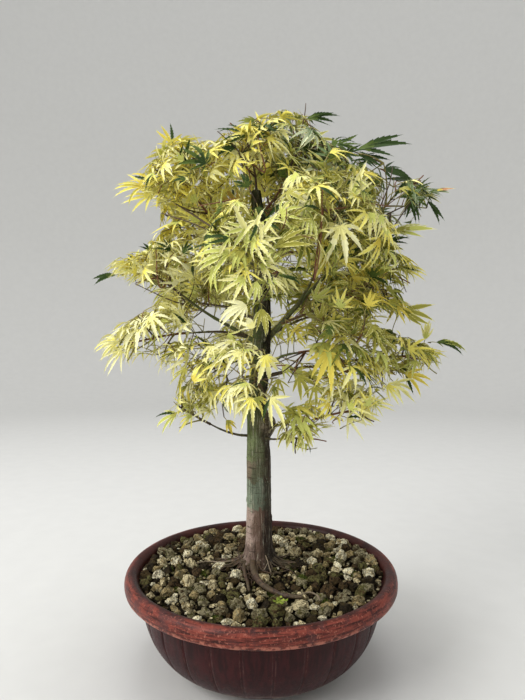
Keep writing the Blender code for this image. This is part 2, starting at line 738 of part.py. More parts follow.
def grow_twigs(name, lines, room):
    """The stem of a mass, and the twigs that leave it in pairs, each pair turned a quarter
    from the last."""
    mass = MASSES[name]
    rng = random.Random(name + " twigs")
    start, heading = mass_start(name, lines)
    centre = Vector(mass.centre)
    goal = centre + (centre - start) * STEM_OVERSHOOT
    foot = start + heading * STEM_FOOT
    controls = (foot, foot + heading * (goal - foot).length * STEM_OVERSHOOT, centre, goal)
    stem = [start] + [bezier(*controls, t) for t in STEM_STEPS]
    widths = [STEM_RADIUS] + [mix(STEM_RADIUS, TWIG_RADIUS, t) for t in STEM_STEPS]
    twigs = [Twig(stem, widths)]
    turn = rng.uniform(0, math.pi)
    for share in STEM_NODES:
        node = bezier(*controls, share)
        ahead = (bezier(*controls, share + 0.05) - bezier(*controls, share - 0.05)).normalized()
        for half in (0, math.pi):
            away = across(ahead, turn + half + rng.uniform(-0.3, 0.3))
            way = (ahead * 0.6 + away * TWIG_SPREAD + UP * 0.15).normalized()
            length = TWIG_SHARE * min(mass.radii) * rng.uniform(0.8, 1.15)
            tip = twig_tip(node, way, length, room)
            if tip:
                twigs.append(Twig([node, tip], [TWIG_RADIUS, TWIG_RADIUS * 0.8]))
        turn += math.pi / 2
    return twigs


def leaf_places(twigs):
    """Where leaves can stand, in opposite pairs: the twigs' tips first, then their middles."""
    places = []
    for order, where in enumerate(TWIG_LEAF_SHARES):
        for index, twig in enumerate(twigs):
            if index == 0 and order:
                continue
            back, tip = twig.points[-2:]
            for side in (1, -1):
                places.append((order, index, back.lerp(tip, where), side))
    return places


def grow_leaves(name, twigs, room, count):
    """Up to count leaves, clear of each other, and the numbers of the twigs that bear them."""
    mass = MASSES[name]
    rng = random.Random(name + " leaves")
    leaves, bearing = [], {0}
    taken = np.array([tuple(twig.points[-2].lerp(twig.points[-1], share))
                      for twig in twigs for share in (0.1, 0.3, 0.5, 0.7, 0.9)])
    for order, index, root, side in leaf_places(twigs):
        way = (twigs[index].points[-1] - twigs[index].points[-2]).normalized()
        for attempt in range(LEAF_TRIES):
            if len(leaves) == count:
                break
            lean = across(way, rng.uniform(-0.9, 0.9)) * side
            out = (way * (0.4 if order else 0.7) + lean * 0.75).normalized()
            size = LEAF_LENGTH * rng.uniform(0.85, 1.15) * 0.99**attempt
            leaf = place_leaf(rng, root, out, mass, size)
            points, widths = leaf_samples(leaf)
            own = np.array([tuple(p) for p in points])
            blade = own[:len(LOBES) * len(LOBE_SAMPLES)]
            nearest = np.linalg.norm(blade[:, None, :] - taken[None], axis=2).min()
            if nearest > LEAF_APART and room.holds(points, widths):
                leaves.append(leaf)
                taken = np.vstack((taken, own))
                bearing.add(index)
                break
    return leaves, bearing


# Meshes of one mass

def cone_mesh(a, b, start, end):
    """A three-sided tapering length of twig."""
    turn = (b - a).to_track_quat("Z", "Y").to_matrix().to_4x4()
    place = Matrix.Translation((a + b) / 2) @ turn

    def build(bm):
        bmesh.ops.create_cone(bm, cap_ends=True, segments=3, radius1=start, radius2=end,
                              depth=(b - a).length, matrix=place)

    return mesh_from(build)


def leaf_mesh(leaf):
    """A palmate leaf, thickest at its heart, on a stalk that ends inside its twig."""

    def on_blade(degrees, share):
        a = math.radians(degrees)
        way = leaf.along * math.cos(a) + leaf.side * math.sin(a)
        drop = leaf.normal * (TIP_DROP * leaf.length * share * share)
        return leaf.base + way * (share * leaf.length) - drop

    def build(bm):
        top = bm.verts.new(leaf.base + leaf.normal * LEAF_THICKNESS / 2)
        under = bm.verts.new(leaf.base - leaf.normal * LEAF_THICKNESS / 2)
        outline = [bm.verts.new(on_blade(-HEEL_ANGLE, HEEL_SHARE))]
        for k, (degrees, size) in enumerate(LOBES):
            if k:
                between = (LOBES[k - 1][0] + degrees) / 2
                outline.append(bm.verts.new(on_blade(between, SINUS_SHARE)))
            outline.append(bm.verts.new(on_blade(degrees, size)))
        outline.append(bm.verts.new(on_blade(HEEL_ANGLE, HEEL_SHARE)))
        for a, b in zip(outline, outline[1:]):
            bm.faces.new((top, a, b))
            bm.faces.new((under, b, a))
        heel = [top, outline[0], under, outline[-1]]
        middle = sum((vert.co for vert in heel), Vector()) / len(heel)
        end = [bm.verts.new(leaf.root + (vert.co - middle) * PETIOLE_TAPER) for vert in heel]
        for k in range(len(heel)):
            bm.faces.new((heel[k - 1], heel[k], end[k], end[k - 1]))
        bm.faces.new(end)

    return mesh_from(build)


def make_mass(name, collection, material, lines, count):
    """One mass of foliage: its stem, twigs and leaves joined by one union."""
    room = Room(name, lines)
    twigs = grow_twigs(name, lines, room)
    leaves, bearing = grow_leaves(name, twigs, room, count)
    stem = tube_mesh(twigs[0].points, twigs[0].radii, 0)
    mass = add_object(name, stem, collection, material)
    loose = new_collection(name + "_shapes")
    for index in sorted(bearing - {0}):
        (a, b), (start, end) = twigs[index]
        add_object("twig", cone_mesh(a, b, start, end), loose, material)
    for leaf in leaves:
        add_object("leaf", leaf_mesh(leaf), loose, material)
    apply_boolean(mass, "UNION", collection=loose)
    for obj in list(loose.objects):
        bpy.data.objects.remove(obj)
    bpy.data.collections.remove(loose)


def mass_size(mass):
    a, b, c = mass.radii
    return (a * b + b * c + c * a) * mass.fullness


def main():
    clear_scene()
    collection = new_collection("japanese_maple_bonsai")
    materials = {name: new_material(name) for name in COLOURS}
    make_pot(collection, materials["glaze"])
    make_soil(collection, materials["gravel"])
    lines = all_bough_lines()
    make_limbs(collection, materials["bark"], lines)
    whole = sum(mass_size(mass) for mass in MASSES.values())
    for name, mass in MASSES.items():
        material = materials["leaf_green" if name in GREEN_MASSES else "leaf"]
        count = round(LEAF_COUNT * mass_size(mass) / whole)
        make_mass(name, collection, material, lines, count)


main()
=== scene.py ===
"""Looks of the Japanese maple bonsai: bark, foliage, glazed bowl and pumice gravel.

Metres, +Z up. The camera stands in front of the tree, on its -Y side.
"""

import json
import math
import random
from collections import namedtuple

import bmesh
import bpy
import numpy as np
from mathutils import Matrix, Vector, noise

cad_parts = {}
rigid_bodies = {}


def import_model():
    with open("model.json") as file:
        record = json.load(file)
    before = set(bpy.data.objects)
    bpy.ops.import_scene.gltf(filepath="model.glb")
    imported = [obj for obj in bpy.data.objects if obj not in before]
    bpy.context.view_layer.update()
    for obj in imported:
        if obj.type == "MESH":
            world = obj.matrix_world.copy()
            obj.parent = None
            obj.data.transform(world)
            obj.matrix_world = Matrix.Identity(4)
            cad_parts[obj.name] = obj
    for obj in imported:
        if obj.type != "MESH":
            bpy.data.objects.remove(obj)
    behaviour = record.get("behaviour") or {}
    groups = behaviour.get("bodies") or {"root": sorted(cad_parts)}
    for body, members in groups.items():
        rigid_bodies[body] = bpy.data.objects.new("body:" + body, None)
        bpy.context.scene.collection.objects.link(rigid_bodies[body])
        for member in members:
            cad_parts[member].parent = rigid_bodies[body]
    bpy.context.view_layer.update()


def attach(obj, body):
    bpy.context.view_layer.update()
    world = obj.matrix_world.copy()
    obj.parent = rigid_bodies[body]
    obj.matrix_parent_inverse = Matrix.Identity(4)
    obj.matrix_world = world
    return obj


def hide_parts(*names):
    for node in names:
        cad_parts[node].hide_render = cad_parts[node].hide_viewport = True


UP = Vector((0, 0, 1))
GAP = 0.0003

# Camera: the photograph is taken level, from close by
CAMERA_PLACE = (0.0012, -0.516, 0.2955)
CAMERA_LENS = 27.05
CAMERA_SENSOR = 36.0

# Bowl
POT_HEIGHT = 0.088
RIM_RADIUS = 0.130
RIM_WIDTH = 0.013
RIM_DEPTH = 0.016
RIM_SQUARENESS = 0.78
BOWL_TOP_RADIUS = 0.115
BOWL_FOOT_RADIUS = 0.066
FOOT_RADIUS = 0.062
FOOT_HEIGHT = 0.005
WALL = 0.0065
BOWL_ROUNDNESS = 2.1
BOWL_SHOULDER = POT_HEIGHT - RIM_DEPTH + 0.002
INNER_FLOOR = FOOT_HEIGHT + WALL
WALL_ROWS = 34
INNER_ROWS = 8
RIM_ROWS = 26
# Radius and height of the turned foot, from the wall inwards
FOOT_ROWS = ((FOOT_RADIUS + 0.0015, FOOT_HEIGHT - 0.0006), (FOOT_RADIUS, FOOT_HEIGHT - 0.002),
             (FOOT_RADIUS, 0.0008), (FOOT_RADIUS - 0.0008, 0.0), (FOOT_RADIUS - 0.006, 0.0),
             (0.004, 0.0))
# Unevenness of the clay: height, how fine it is round the bowl and up it
WALL_NOISE = ((0.00018, 9, 60),)
RIM_NOISE = ((0.00030, 4, 55), (0.00012, 30, 260))

# Upright grooves between the bowl's flutes. They fade in from their start, over so much
# height, and out again towards their end.
FLUTES = 28
GROOVE_TURN = math.radians(-90 + 5.2)
GROOVE_DEPTH = 0.0010
GROOVE_WIDTH = 0.0011
GROOVE_WANDER = 0.0006
GROOVE_START = 0.012
GROOVE_FADE = 0.012
GROOVE_END = 0.0665
GROOVE_END_FADE = 0.002
# Places of the mesh's columns beside a groove, in millimetres, and how many more follow on the
# plain wall
GROOVE_STEPS = (-2.6, -1.6, -0.9, -0.4, 0.0, 0.4, 0.9, 1.6, 2.6)
PLAIN_STEPS = 6

# Soil and gravel: the soil's height at the trunk and at the rim, and its swell
GROUND = 0.0865
SOIL_EDGE = 0.0825
SOIL_RADIUS = RIM_RADIUS - RIM_WIDTH - 0.0006
BED_DEPTH = 0.0045
SOIL_POWER = 2.5
SWELL_HEIGHT = 0.0014
SWELL_LENGTH = 0.030

# Trunk: height, centre x, centre y, radius
TRUNK_STATIONS = (
    (GROUND, -0.0027, 0.0, 0.0135),
    (0.104, -0.0023, 0.0, 0.0124),
    (0.178, -0.0025, 0.0, 0.0117),
    (0.222, -0.0033, 0.0, 0.0106),
    (0.241, -0.0046, 0.0, 0.0096),
    (0.285, -0.0008, 0.0, 0.0093),
    (0.316, 0.0010, 0.0, 0.0087),
    (0.370, 0.0002, 0.002, 0.0078),
    (0.420, -0.0022, 0.003, 0.0066),
    (0.452, -0.0050, 0.002, 0.0050),
)
# Root flare, its lobes, and the collar of a bough that was cut
FLARE_RADIUS = 0.008
FLARE_HEIGHT = 0.009
FLARE_LOBES = 5
FLARE_SHARE = 0.8
FLARE_WAVE = 0.35
FLARE_TURN = 0.9
COLLAR_HEIGHT = 0.223
COLLAR_SIZE = 0.0065
COLLAR_SPREAD = 0.011
COLLAR_POWER = 3.2
# Mesh of the trunk, and how its top is rounded off
BARK_SIDES = 112
BARK_RINGS = 280
BARK_RING_POWER = 1.06
TOP_ROUNDING = 0.10
TOP_ROUNDING_HEIGHT = 0.006

# Surface roots: points on the ground, then the radius at each end
ROOTS = {
    "surface_root_front": (
        ((-0.007, -0.006), (-0.0080, -0.018), (-0.0045, -0.038), (0.0015, -0.054),
         (0.0110, -0.0655), (0.0220, -0.0730), (0.0350, -0.0750)),
        0.0034, 0.0014),
    "surface_root_front_left": (
        ((-0.010, -0.004), (-0.0160, -0.013), (-0.0150, -0.030), (-0.0125, -0.044),
         (-0.0105, -0.062)),
        0.0023, 0.0011),
    "surface_root_left": (
        ((-0.010, 0.000), (-0.0200, -0.0040), (-0.0280, -0.0070), (-0.0370, -0.0130)),
        0.0024, 0.0011),
}

ROOT_SIDES = 14
ROOT_STEPS = 7
ROOT_ROUGHNESS = 2.0
FINE_ROOT_SIDES = 7
FINE_ROOT_STEPS = 6
FINE_ROOT_ROUGHNESS = 1.5
ROOTLET_STEPS = 4
ROOTLETS = 34
ROOTLET_START = 0.0135
ROOTLET_STEP = 0.0052
ROOTLET_WIDTHS = (0.0005, 0.0011)
ROOTLET_POINTS = (5, 9)
ROOTLET_RISE = 0.007
ROOTLET_WANDER = 0.65
# Pale thin roots in front of the trunk and out to the left: points, radius
THIN_ROOTS = (
    (((0.0040, -0.0150, 0.1000), (0.0062, -0.0185, 0.0955), (0.0075, -0.0215, 0.0915),
      (0.0092, -0.0250, 0.0880)), 0.00055),
    (((0.0065, -0.0190, 0.0950), (0.0040, -0.0220, 0.0915), (0.0015, -0.0240, 0.0885)), 0.0004),
    (((-0.0120, -0.0020, 0.0940), (-0.0240, -0.0020, 0.0905), (-0.0400, -0.0040, 0.0890),
      (-0.0520, -0.0010, 0.0885), (-0.0660, -0.0060, 0.0880)), 0.0008),
    (((0.0300, -0.0740, 0.0885), (0.0400, -0.0700, 0.0900), (0.0470, -0.0730, 0.0890),
      (0.0490, -0.0800, 0.0880)), 0.0007),
)

# Foliage masses: centre, half sizes, share of leaves against a full mass, droop of its leaves
# and the palette that they take
Mass = namedtuple("Mass", "centre radii fullness droop palette")
MASSES = {"foliage_" + name: Mass(*row) for name, *row in (
    ("upper_left", (-0.069, -0.015, 0.449), (0.058, 0.052, 0.047), 1.1, 0.5, "golden"),
    ("top_left", (-0.013, -0.012, 0.490), (0.045, 0.050, 0.042), 1.0, 0.3, "golden"),
    ("top_right", (0.046, -0.004, 0.487), (0.047, 0.050, 0.043), 1.0, 0.3, "green_top"),
    ("right_high", (0.128, 0.000, 0.444), (0.060, 0.048, 0.046), 0.8, 0.3, "green_top"),
    ("right_front", (0.064, -0.060, 0.410), (0.050, 0.045, 0.046), 1.0, 0.6, "mixed"),
    ("front_centre", (-0.005, -0.088, 0.370), (0.052, 0.045, 0.046), 1.0, 0.7, "star"),
    ("right_mid", (0.106, -0.015, 0.362), (0.058, 0.050, 0.040), 1.0, 0.6, "shaded"),
    ("left_mid", (-0.106, -0.008, 0.369), (0.060, 0.046, 0.029), 0.8, 0.4, "bright"),
    ("left_low", (-0.104, -0.045, 0.304), (0.053, 0.043, 0.036), 1.0, 0.9, "bright"),
    ("left_inner", (-0.050, -0.048, 0.276), (0.040, 0.040, 0.038), 1.0, 0.9, "creamy"),
    ("front_low", (-0.005, -0.078, 0.270), (0.038, 0.038, 0.040), 1.0, 0.9, "creamy"),
    ("right_low", (0.076, -0.032, 0.295), (0.054, 0.047, 0.042), 1.0, 0.7, "shaded"),
    ("right_far", (0.150, 0.006, 0.290), (0.056, 0.044, 0.034), 1.1, 0.6, "shaded"),
    ("right_lowest", (0.082, -0.035, 0.240), (0.045, 0.038, 0.030), 0.9, 0.8, "creamy"),
    ("low_spray", (0.036, -0.042, 0.216), (0.034, 0.033, 0.029), 0.9, 0.9, "mixed"),
    ("left_lowest", (-0.070, -0.020, 0.238), (0.036, 0.033, 0.025), 0.9, 0.7, "mixed"),
    ("back_top", (0.015, 0.075, 0.462), (0.058, 0.048, 0.052), 1.0, 0.4, "mixed"),
    ("back_left_high", (-0.075, 0.070, 0.422), (0.056, 0.048, 0.048), 1.0, 0.6, "golden"),
    ("back_right_high", (0.092, 0.075, 0.422), (0.056, 0.048, 0.048), 1.0, 0.6, "green_top"),
    ("back_centre", (0.008, 0.118, 0.385), (0.054, 0.048, 0.048), 1.0, 0.6, "mixed"),
    ("back_left_mid", (-0.075, 0.085, 0.350), (0.054, 0.046, 0.041), 0.9, 0.8, "mixed"),
    ("back_right_mid", (0.085, 0.088, 0.340), (0.054, 0.046, 0.044), 0.9, 0.8, "shaded"),
    ("back_low", (-0.020, 0.085, 0.296), (0.045, 0.040, 0.037), 0.9, 0.9, "creamy"),
)}

# Boughs, each named as the mass that it carries: its parent, the height it leaves the trunk
# at or the share along its parent bough, its radius there, how far it bows upwards, its bark
Bough = namedtuple("Bough", "mass parent place radius bow look")
BOUGHS = {"bough_" + name: Bough("foliage_" + name, *row) for name, *row in (
    ("left_lowest", "trunk", 0.211, 0.0021, -0.008, "brown"),
    ("low_spray", "trunk", 0.209, 0.0018, -0.001, "brown"),
    ("right_lowest", "trunk", 0.220, 0.0021, -0.003, "brown"),
    ("front_low", "trunk", 0.262, 0.0022, 0.012, "brown"),
    ("left_inner", "trunk", 0.278, 0.0020, 0.010, "brown"),
    ("back_low", "trunk", 0.268, 0.0022, 0.006, "brown"),
    ("right_low", "trunk", 0.281, 0.0027, 0.008, "green"),
    ("right_far", "trunk", 0.268, 0.0025, 0.006, "brown"),
    ("left_mid", "trunk", 0.300, 0.0030, -0.002, "green"),
    ("left_low", "bough_left_mid", 0.20, 0.0021, 0.008, "brown"),
    ("right_high", "trunk", 0.300, 0.0036, -0.002, "green"),
    ("right_mid", "bough_right_high", 0.20, 0.0021, -0.004, "red"),
    ("right_front", "bough_right_high", 0.38, 0.0021, -0.004, "green"),
    ("front_centre", "trunk", 0.322, 0.0028, 0.004, "green"),
    ("back_right_mid", "trunk", 0.306, 0.0028, 0.006, "brown"),
    ("back_left_mid", "trunk", 0.322, 0.0027, 0.006, "brown"),
    ("back_centre", "trunk", 0.345, 0.0028, 0.004, "brown"),
    ("upper_left", "trunk", 0.372, 0.0028, -0.004, "brown"),
    ("back_left_high", "trunk", 0.385, 0.0024, 0.002, "brown"),
    ("back_right_high", "trunk", 0.378, 0.0024, 0.002, "red"),
    ("top_right", "trunk", 0.424, 0.0024, 0.000, "red"),
    ("back_top", "trunk", 0.408, 0.0024, 0.002, "brown"),
)}
BOUGH_POINTS = 6
BOUGH_TIP_SHARE = 0.60
BOUGH_LEAST_RADIUS = 0.0013
# Shares of the way to its mass at which a bough is bent, and of its bow at the second of them
BOUGH_BENDS = (0.33, 0.7)
BOUGH_LATE_BOW = 0.8
BOUGH_CROOK = 0.0012
BOUGH_SIDES = 16
BOUGH_STEPS = 8
BOUGH_ROUGHNESS = 1.0
BOUGH_WIDTHS = (0.72, 0.54)
# Noise in the bark of the thinner limbs: height, how fine it is round and along them
LIMB_NOISE = ((0.10, 1.6, 130), (0.05, 3.5, 330))
# Swellings of a bough, as shares of its radius and its length: where it leaves its parent, and
# its buds with the spans in which they sit
SWELLING = 0.55
SWELLING_LENGTH = 0.10
BUD_SWELLING = 0.22
BUD_LENGTH = 0.012
BUD_SPANS = ((0.30, 0.42), (0.52, 0.66), (0.76, 0.9))
MASS_ENTRY = 0.84

# Twigs that the solids have too
TWIG_RADIUS = 0.0016
STEM_FOOT = 0.003
STEM_OVERSHOOT = 0.35
TWIG_LEAST = 0.006
TWIG_REACH = 0.78
TWIG_SPREAD = 0.95
TWIG_SHARE = 0.85
STEM_NODES = (0.18, 0.52, 0.86)
NODE_STEP = 0.05
TWIG_AHEAD = 0.6
TWIG_LIFT = 0.15
TWIG_WOBBLE = 0.3
TWIG_LENGTHS = (0.8, 1.15)
TWIG_PROBES = (0.5, 0.75, 1.0)
TWIG_DRAWN_BACK = 0.8
CELL_MARGIN = 0.055
LIMB_CLEARANCE = 0.0014
LIMB_STEP = 0.003
TRUNK_MARGIN = 0.001

# Finer twigs, carried on by the same rule: widths at both ends, nodes along the stem and along
# other twigs, and the way that they take. They and the leaves may also bridge the space
# between two masses, where the sum of the shares out of both is small enough.
STEM_WIDTHS = (0.0012, 0.0007)
TWIG_WIDTHS = (0.0009, 0.0005)
FINE_WIDTHS = (0.0005, 0.0003)
STEM_FINE_NODES = (0.30, 0.48, 0.66, 0.82, 1.0)
FINE_NODES = (0.38, 0.72, 1.0)
STEM_FINE_SHARE = 0.55
FINE_AHEAD = 0.75
FINE_SPREAD = 0.85
TIP_SPREAD = 0.45
FINE_WOBBLE = 0.4
FINE_LENGTHS = (0.6, 1.4)
FINE_LIFTS = (-0.15, 0.25)
FINE_TURNS = (-0.2, 0.2)
FINE_SHARE = 0.80
FINE_REACH = 0.90
TWIG_BOW = 0.10
TWIG_STEPS = 5
BRIDGE_SUM = 2.75
LOW_BRIDGE_SUM = 2.35
BRIDGE_HEIGHTS = (0.27, 0.36)
BRIDGE_DEPTH = 0.45
# The crown's outline as the camera sees it, at the trunk's depth: height over place along
# its top, then place over height up each side
OUTLINE_TOP = ((-0.148, 0.448), (-0.108, 0.497), (-0.098, 0.506), (-0.072, 0.506),
               (-0.060, 0.499), (-0.042, 0.500), (-0.034, 0.512), (-0.010, 0.518),
               (0.008, 0.527), (0.042, 0.527), (0.056, 0.507), (0.070, 0.504),
               (0.078, 0.489), (0.090, 0.481), (0.110, 0.474), (0.136, 0.462),
               (0.190, 0.452))
OUTLINE_LEFT = ((0.202, 0.000), (0.211, -0.050), (0.217, -0.097), (0.230, -0.099),
                (0.237, -0.084), (0.262, -0.088), (0.276, -0.130), (0.288, -0.160),
                (0.303, -0.167), (0.330, -0.119), (0.345, -0.101), (0.354, -0.127),
                (0.362, -0.163), (0.380, -0.155), (0.394, -0.114), (0.412, -0.097),
                (0.426, -0.100), (0.436, -0.118), (0.450, -0.141), (0.462, -0.119),
                (0.501, -0.103))
OUTLINE_RIGHT = ((0.186, 0.043), (0.207, 0.067), (0.217, 0.087), (0.225, 0.114),
                 (0.250, 0.138), (0.262, 0.164), (0.284, 0.188), (0.297, 0.178),
                 (0.305, 0.148), (0.317, 0.130), (0.327, 0.164), (0.345, 0.134),
                 (0.368, 0.162), (0.394, 0.132), (0.421, 0.148), (0.431, 0.175),
                 (0.458, 0.185), (0.465, 0.134), (0.482, 0.099), (0.513, 0.069),
                 (0.533, 0.072))
OUTLINE_SLACK = 0.001
# Windows through which it sees the sky: centre and half sizes
SKY_WINDOWS = ((-0.053, 0.319, 0.012, 0.013), (-0.029, 0.268, 0.007, 0.005),
               (0.130, 0.438, 0.013, 0.011), (0.128, 0.464, 0.008, 0.006),
               (0.023, 0.286, 0.011, 0.007), (0.028, 0.382, 0.007, 0.004),
               (-0.073, 0.288, 0.004, 0.005), (0.029, 0.250, 0.011, 0.008),
               (0.119, 0.318, 0.007, 0.003), (0.107, 0.299, 0.005, 0.003),
               (-0.109, 0.299, 0.004, 0.006))
# Where it sees the trunk through the leaves, with none in front: centre and half sizes
TRUNK_WINDOWS = ((0.002, 0.444, 0.011, 0.022), (0.001, 0.308, 0.009, 0.014),
                 (0.001, 0.264, 0.008, 0.006))
# Short twigs along the boughs, in the masses whose centres are high enough
SPUR_PLACES = (0.26, 0.42, 0.58, 0.74, 0.90)
SPUR_LENGTH = 0.024
SPUR_LENGTHS = (0.6, 1.5)
SPUR_WOBBLE = 0.5
SPUR_AHEADS = (0.2, 0.8)
SPUR_LIFTS = (0.0, 0.5)
SPUR_LEAST_HEIGHT = 0.27

# Leaves: the most that may grow by rule, their length and how they are spaced
LEAF_COUNT = 2500
LEAF_LENGTH = 0.0280
LEAF_SIZES = (0.70, 1.25)
LEAF_SPREADS = (0.60, 1.06)
LEAF_TRIES = 10
LEAF_SHARES = (1.0, 0.6)
LEAF_CELL = 0.0036
LEAF_CROWDING = 3
LEAF_REACH = 1.03
LEAF_TURN = 1.3
# How far a leaf at a twig's tip points ahead, and one further back
LEAF_AHEADS = (0.75, 0.45)
LEAF_ASIDE = 0.75
LEAF_SHRINK = 0.985
TWIG_TONE_SHARE = 0.6
# What turns a blade: the way of its stalk, the way out of the crown, its weight and chance;
# then what its face turns to
BLADE_AHEAD = 0.8
BLADE_OUT = 0.4
BLADE_HANGS = (-0.2, 1.3)
BLADE_SWAY = 0.65
FACE_UP = 0.7
FACE_OUT = 0.8
FACE_SWAY = 0.55
# Points at which a leaf is tried for room: shares of each lobe, how far they curl and hang,
# half width at the lobe's foot, and one point on the stalk
TRIED_LOBES = 5
TRIED_SHARES = (0.3, 0.55, 0.8, 1.0)
TRIED_CURL = 0.16
TRIED_HANG = 0.20
TRIED_WIDTH = 0.10
TRIED_STALK_SHARE = 0.7
TRIED_STALK_WIDTH = 0.0005
STALK_DROOP = 0.15
PETIOLE_LENGTHS = (0.6, 1.5)
PETIOLE_SHARE = 0.60
PETIOLE_RADIUS = 0.00036
PETIOLE_TAPER = (1.25, 0.8)
PETIOLE_BEND = 0.06
PETIOLE_BEND_PLACE = 0.55
PETIOLE_SIDES = 4
LEAST_BEND = 0.35
LOBES = ((0, 1.0), (37, 0.92), (-37, 0.92), (76, 0.70), (-76, 0.70), (116, 0.34), (-116, 0.34))
LOBE_STATIONS = (0.0, 0.12, 0.24, 0.36, 0.48, 0.60, 0.72, 0.86, 1.0)
LOBE_HALF_WIDTHS = (0.0, 0.032, 0.046, 0.057, 0.060, 0.050, 0.032, 0.012, 0.0)
TOOTH = 0.033
TOOTH_SIZES = (1.0, 0.6)
TOOTH_AHEAD = 1.02
# Pairs of neighbouring lobes, and how many stations out the web between them reaches
WEBS = ((0, 1, 2), (2, 0, 2), (1, 3, 2), (4, 2, 2), (3, 5, 1), (6, 4, 1))

